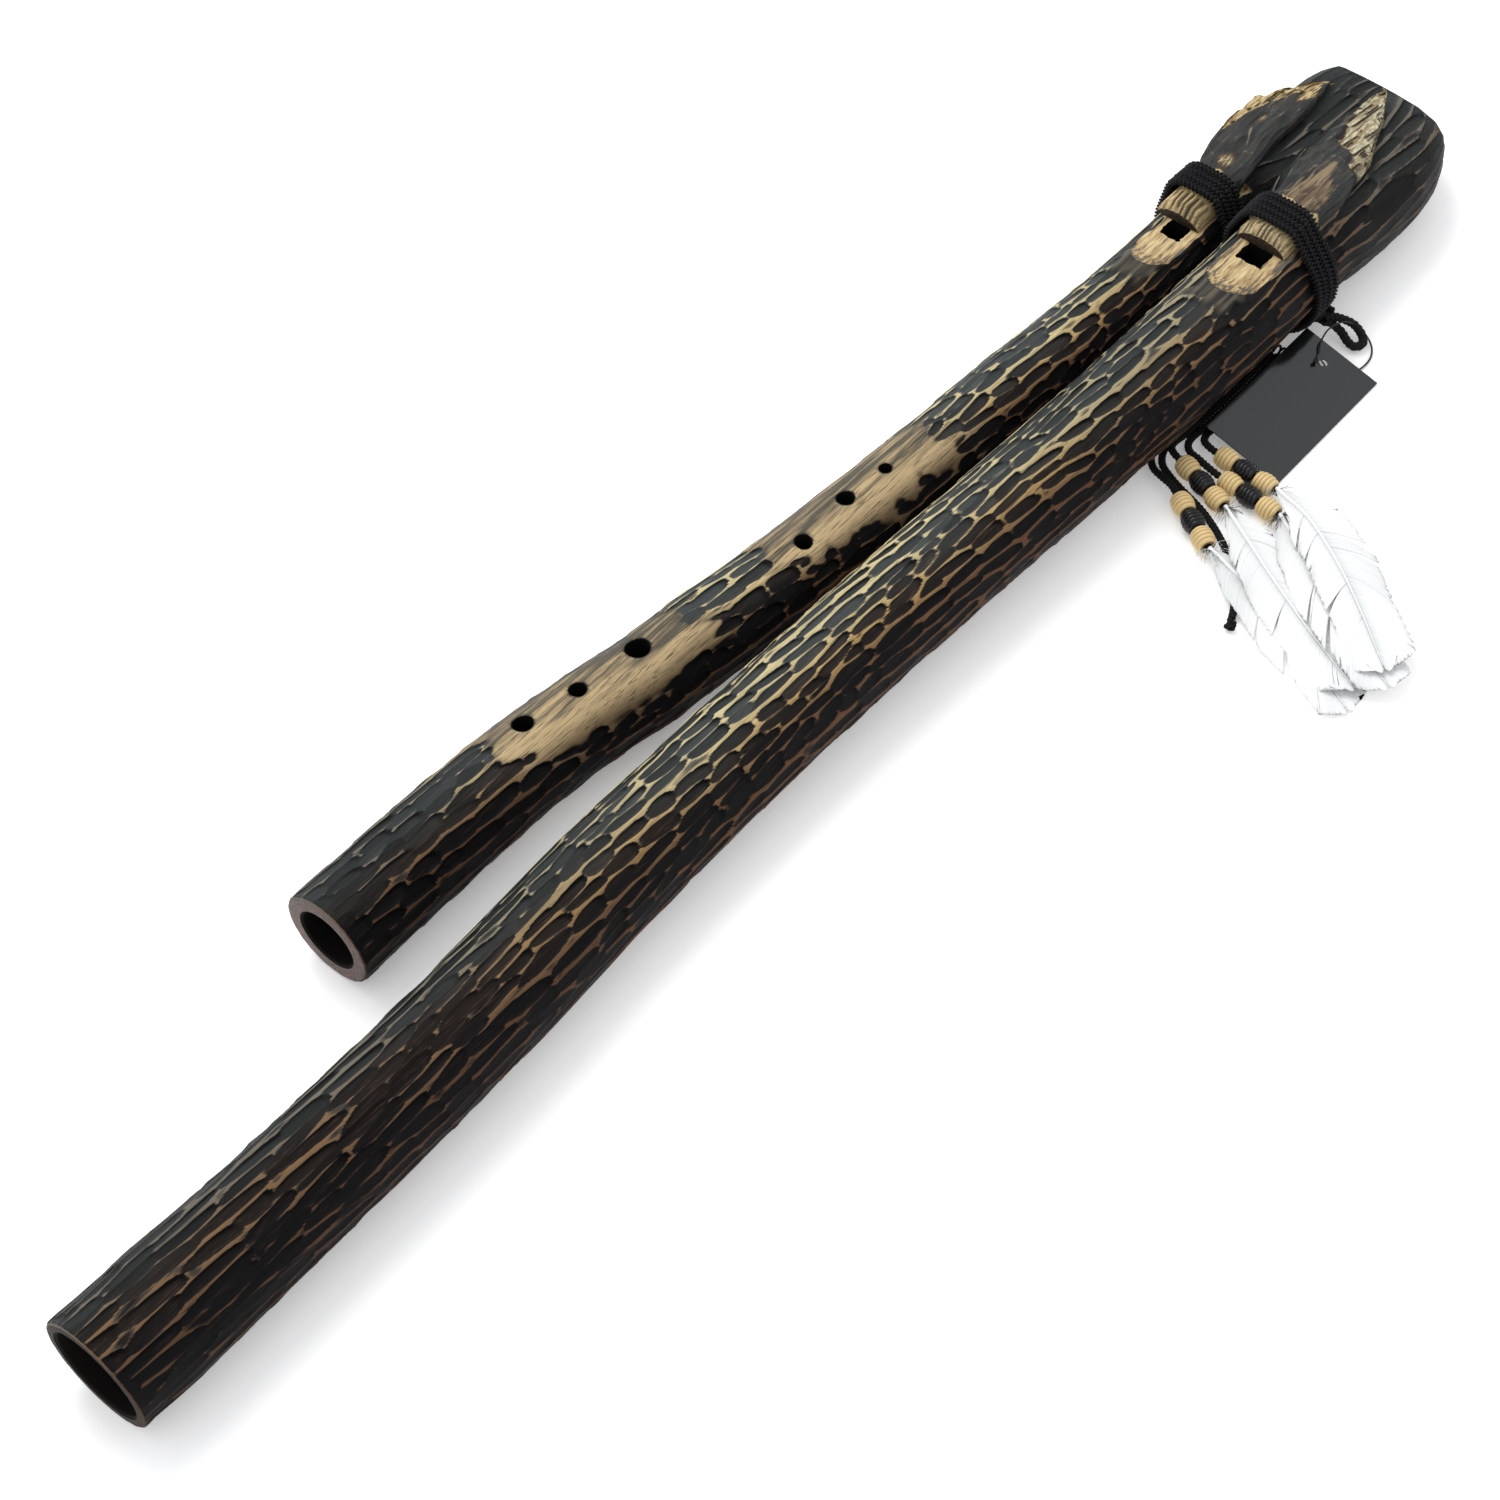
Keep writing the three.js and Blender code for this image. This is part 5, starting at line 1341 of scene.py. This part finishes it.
def laced_tie(name, node, turns, seed):
    """Turns of lace that follow the outline of the tie's node, a little inside it."""
    around, knots = 360, 12
    cad = bpy.data.objects[node]
    points = np.array([cad.matrix_world @ v.co for v in cad.data.vertices]) * 1000
    points -= np.array(place(0, 0, 0)) * 1000
    low, high = points[:, 0].min(), points[:, 0].max()
    loop = hull_loop(points[:, 1:])
    loop = np.vstack([loop, loop[:1]])
    reach = reach_along(loop)
    marks = np.linspace(0, reach[-1], around + 1)[:-1]
    ring = np.stack([np.interp(marks, reach, loop[:, k]) for k in (0, 1)], axis=1)
    for _ in range(14):
        ring = (np.roll(ring, 1, axis=0) + 2 * ring + np.roll(ring, -1, axis=0)) / 4
    tangent = unit(np.roll(ring, -1, axis=0) - np.roll(ring, 1, axis=0))
    out = np.stack([tangent[:, 1], -tangent[:, 0]], axis=1)
    chance = np.random.default_rng(seed)
    width = (high - low) / turns
    points, faces = [], []
    for k in range(turns):
        wander = np.convolve(np.tile(chance.normal(0, 1, knots), 3), np.ones(3) / 3,
                             mode="same")[knots:2 * knots]
        wander = np.interp(np.linspace(0, knots, around, endpoint=False), np.arange(knots + 1),
                           np.append(wander, wander[0]))
        inset = 2.0 + 0.25 * chance.random() + 0.12 * wander
        x = low + width * (k + 0.5) + 0.25 * wander * (0 < k < turns - 1)
        path = np.column_stack([x, ring - out * inset[:, None]])
        path[:, 2] = np.maximum(path[:, 2], 1.9)
        side = np.tile([1.0, 0, 0], (around, 1))
        forward = unit(np.roll(path, -1, axis=0) - np.roll(path, 1, axis=0))
        add_skin(points, faces, plait(path, side, np.cross(forward, side), width + 0.25, 3.7, 6.2, 1.95,
                                      True, 9))
    fitted(mesh_piece(name, in_frame(np.vstack(points)), faces, lace_black), node)


laced_tie("drone_lacing", "drone_tie", 4, 5)
laced_tie("melody_lacing", "melody_tie", 4, 8)


# The table is a plain pale surface, and the light is a broad soft one from above the melody side,
# with the bright room all round.
bpy.ops.object.select_all(action="DESELECT")
bpy.ops.mesh.primitive_plane_add(size=6, location=(0, 0, -0.0002))
table_top = bpy.context.object
table_top.name = "table"
paper = finish("pale_table", Base_Color=(0.90, 0.895, 0.885, 1), Roughness=0.8,
               Emission_Color=(1.0, 0.99, 0.975, 1), Emission_Strength=0.26)
table_top.data.materials.append(paper.material)

room = Finish(bpy.data.worlds.new("room"), "Background", Color=(0.95, 0.97, 1.0, 1))
towards = room.step("VectorMath", {0: room.step("TexCoord", {}, "Generated"), 1: (0.15, 0.55, 0.82)},
                    "Value", operation="DOT_PRODUCT")
room.wire(room.ranged(towards, -0.4, 0.6, 0.70, 1.0), "Strength")
bpy.context.scene.world = room.material


def soft_light(name, where, aim, size, power, colour):
    """A round lamp with soft edges that points at a place."""
    lamp = bpy.data.lights.new(name, "AREA")
    lamp.shape = "DISK"
    lamp.size = size
    lamp.energy = power
    lamp.color = colour
    light = bpy.data.objects.new(name, lamp)
    light.location = where
    light.rotation_euler = (Vector(aim) - Vector(where)).to_track_quat("-Z", "Y").to_euler()
    bpy.context.collection.objects.link(light)


soft_light("window_light", (0.25, 1.1, 1.7), (0, 0, 0), 1.4, 27, (1.0, 0.99, 0.98))
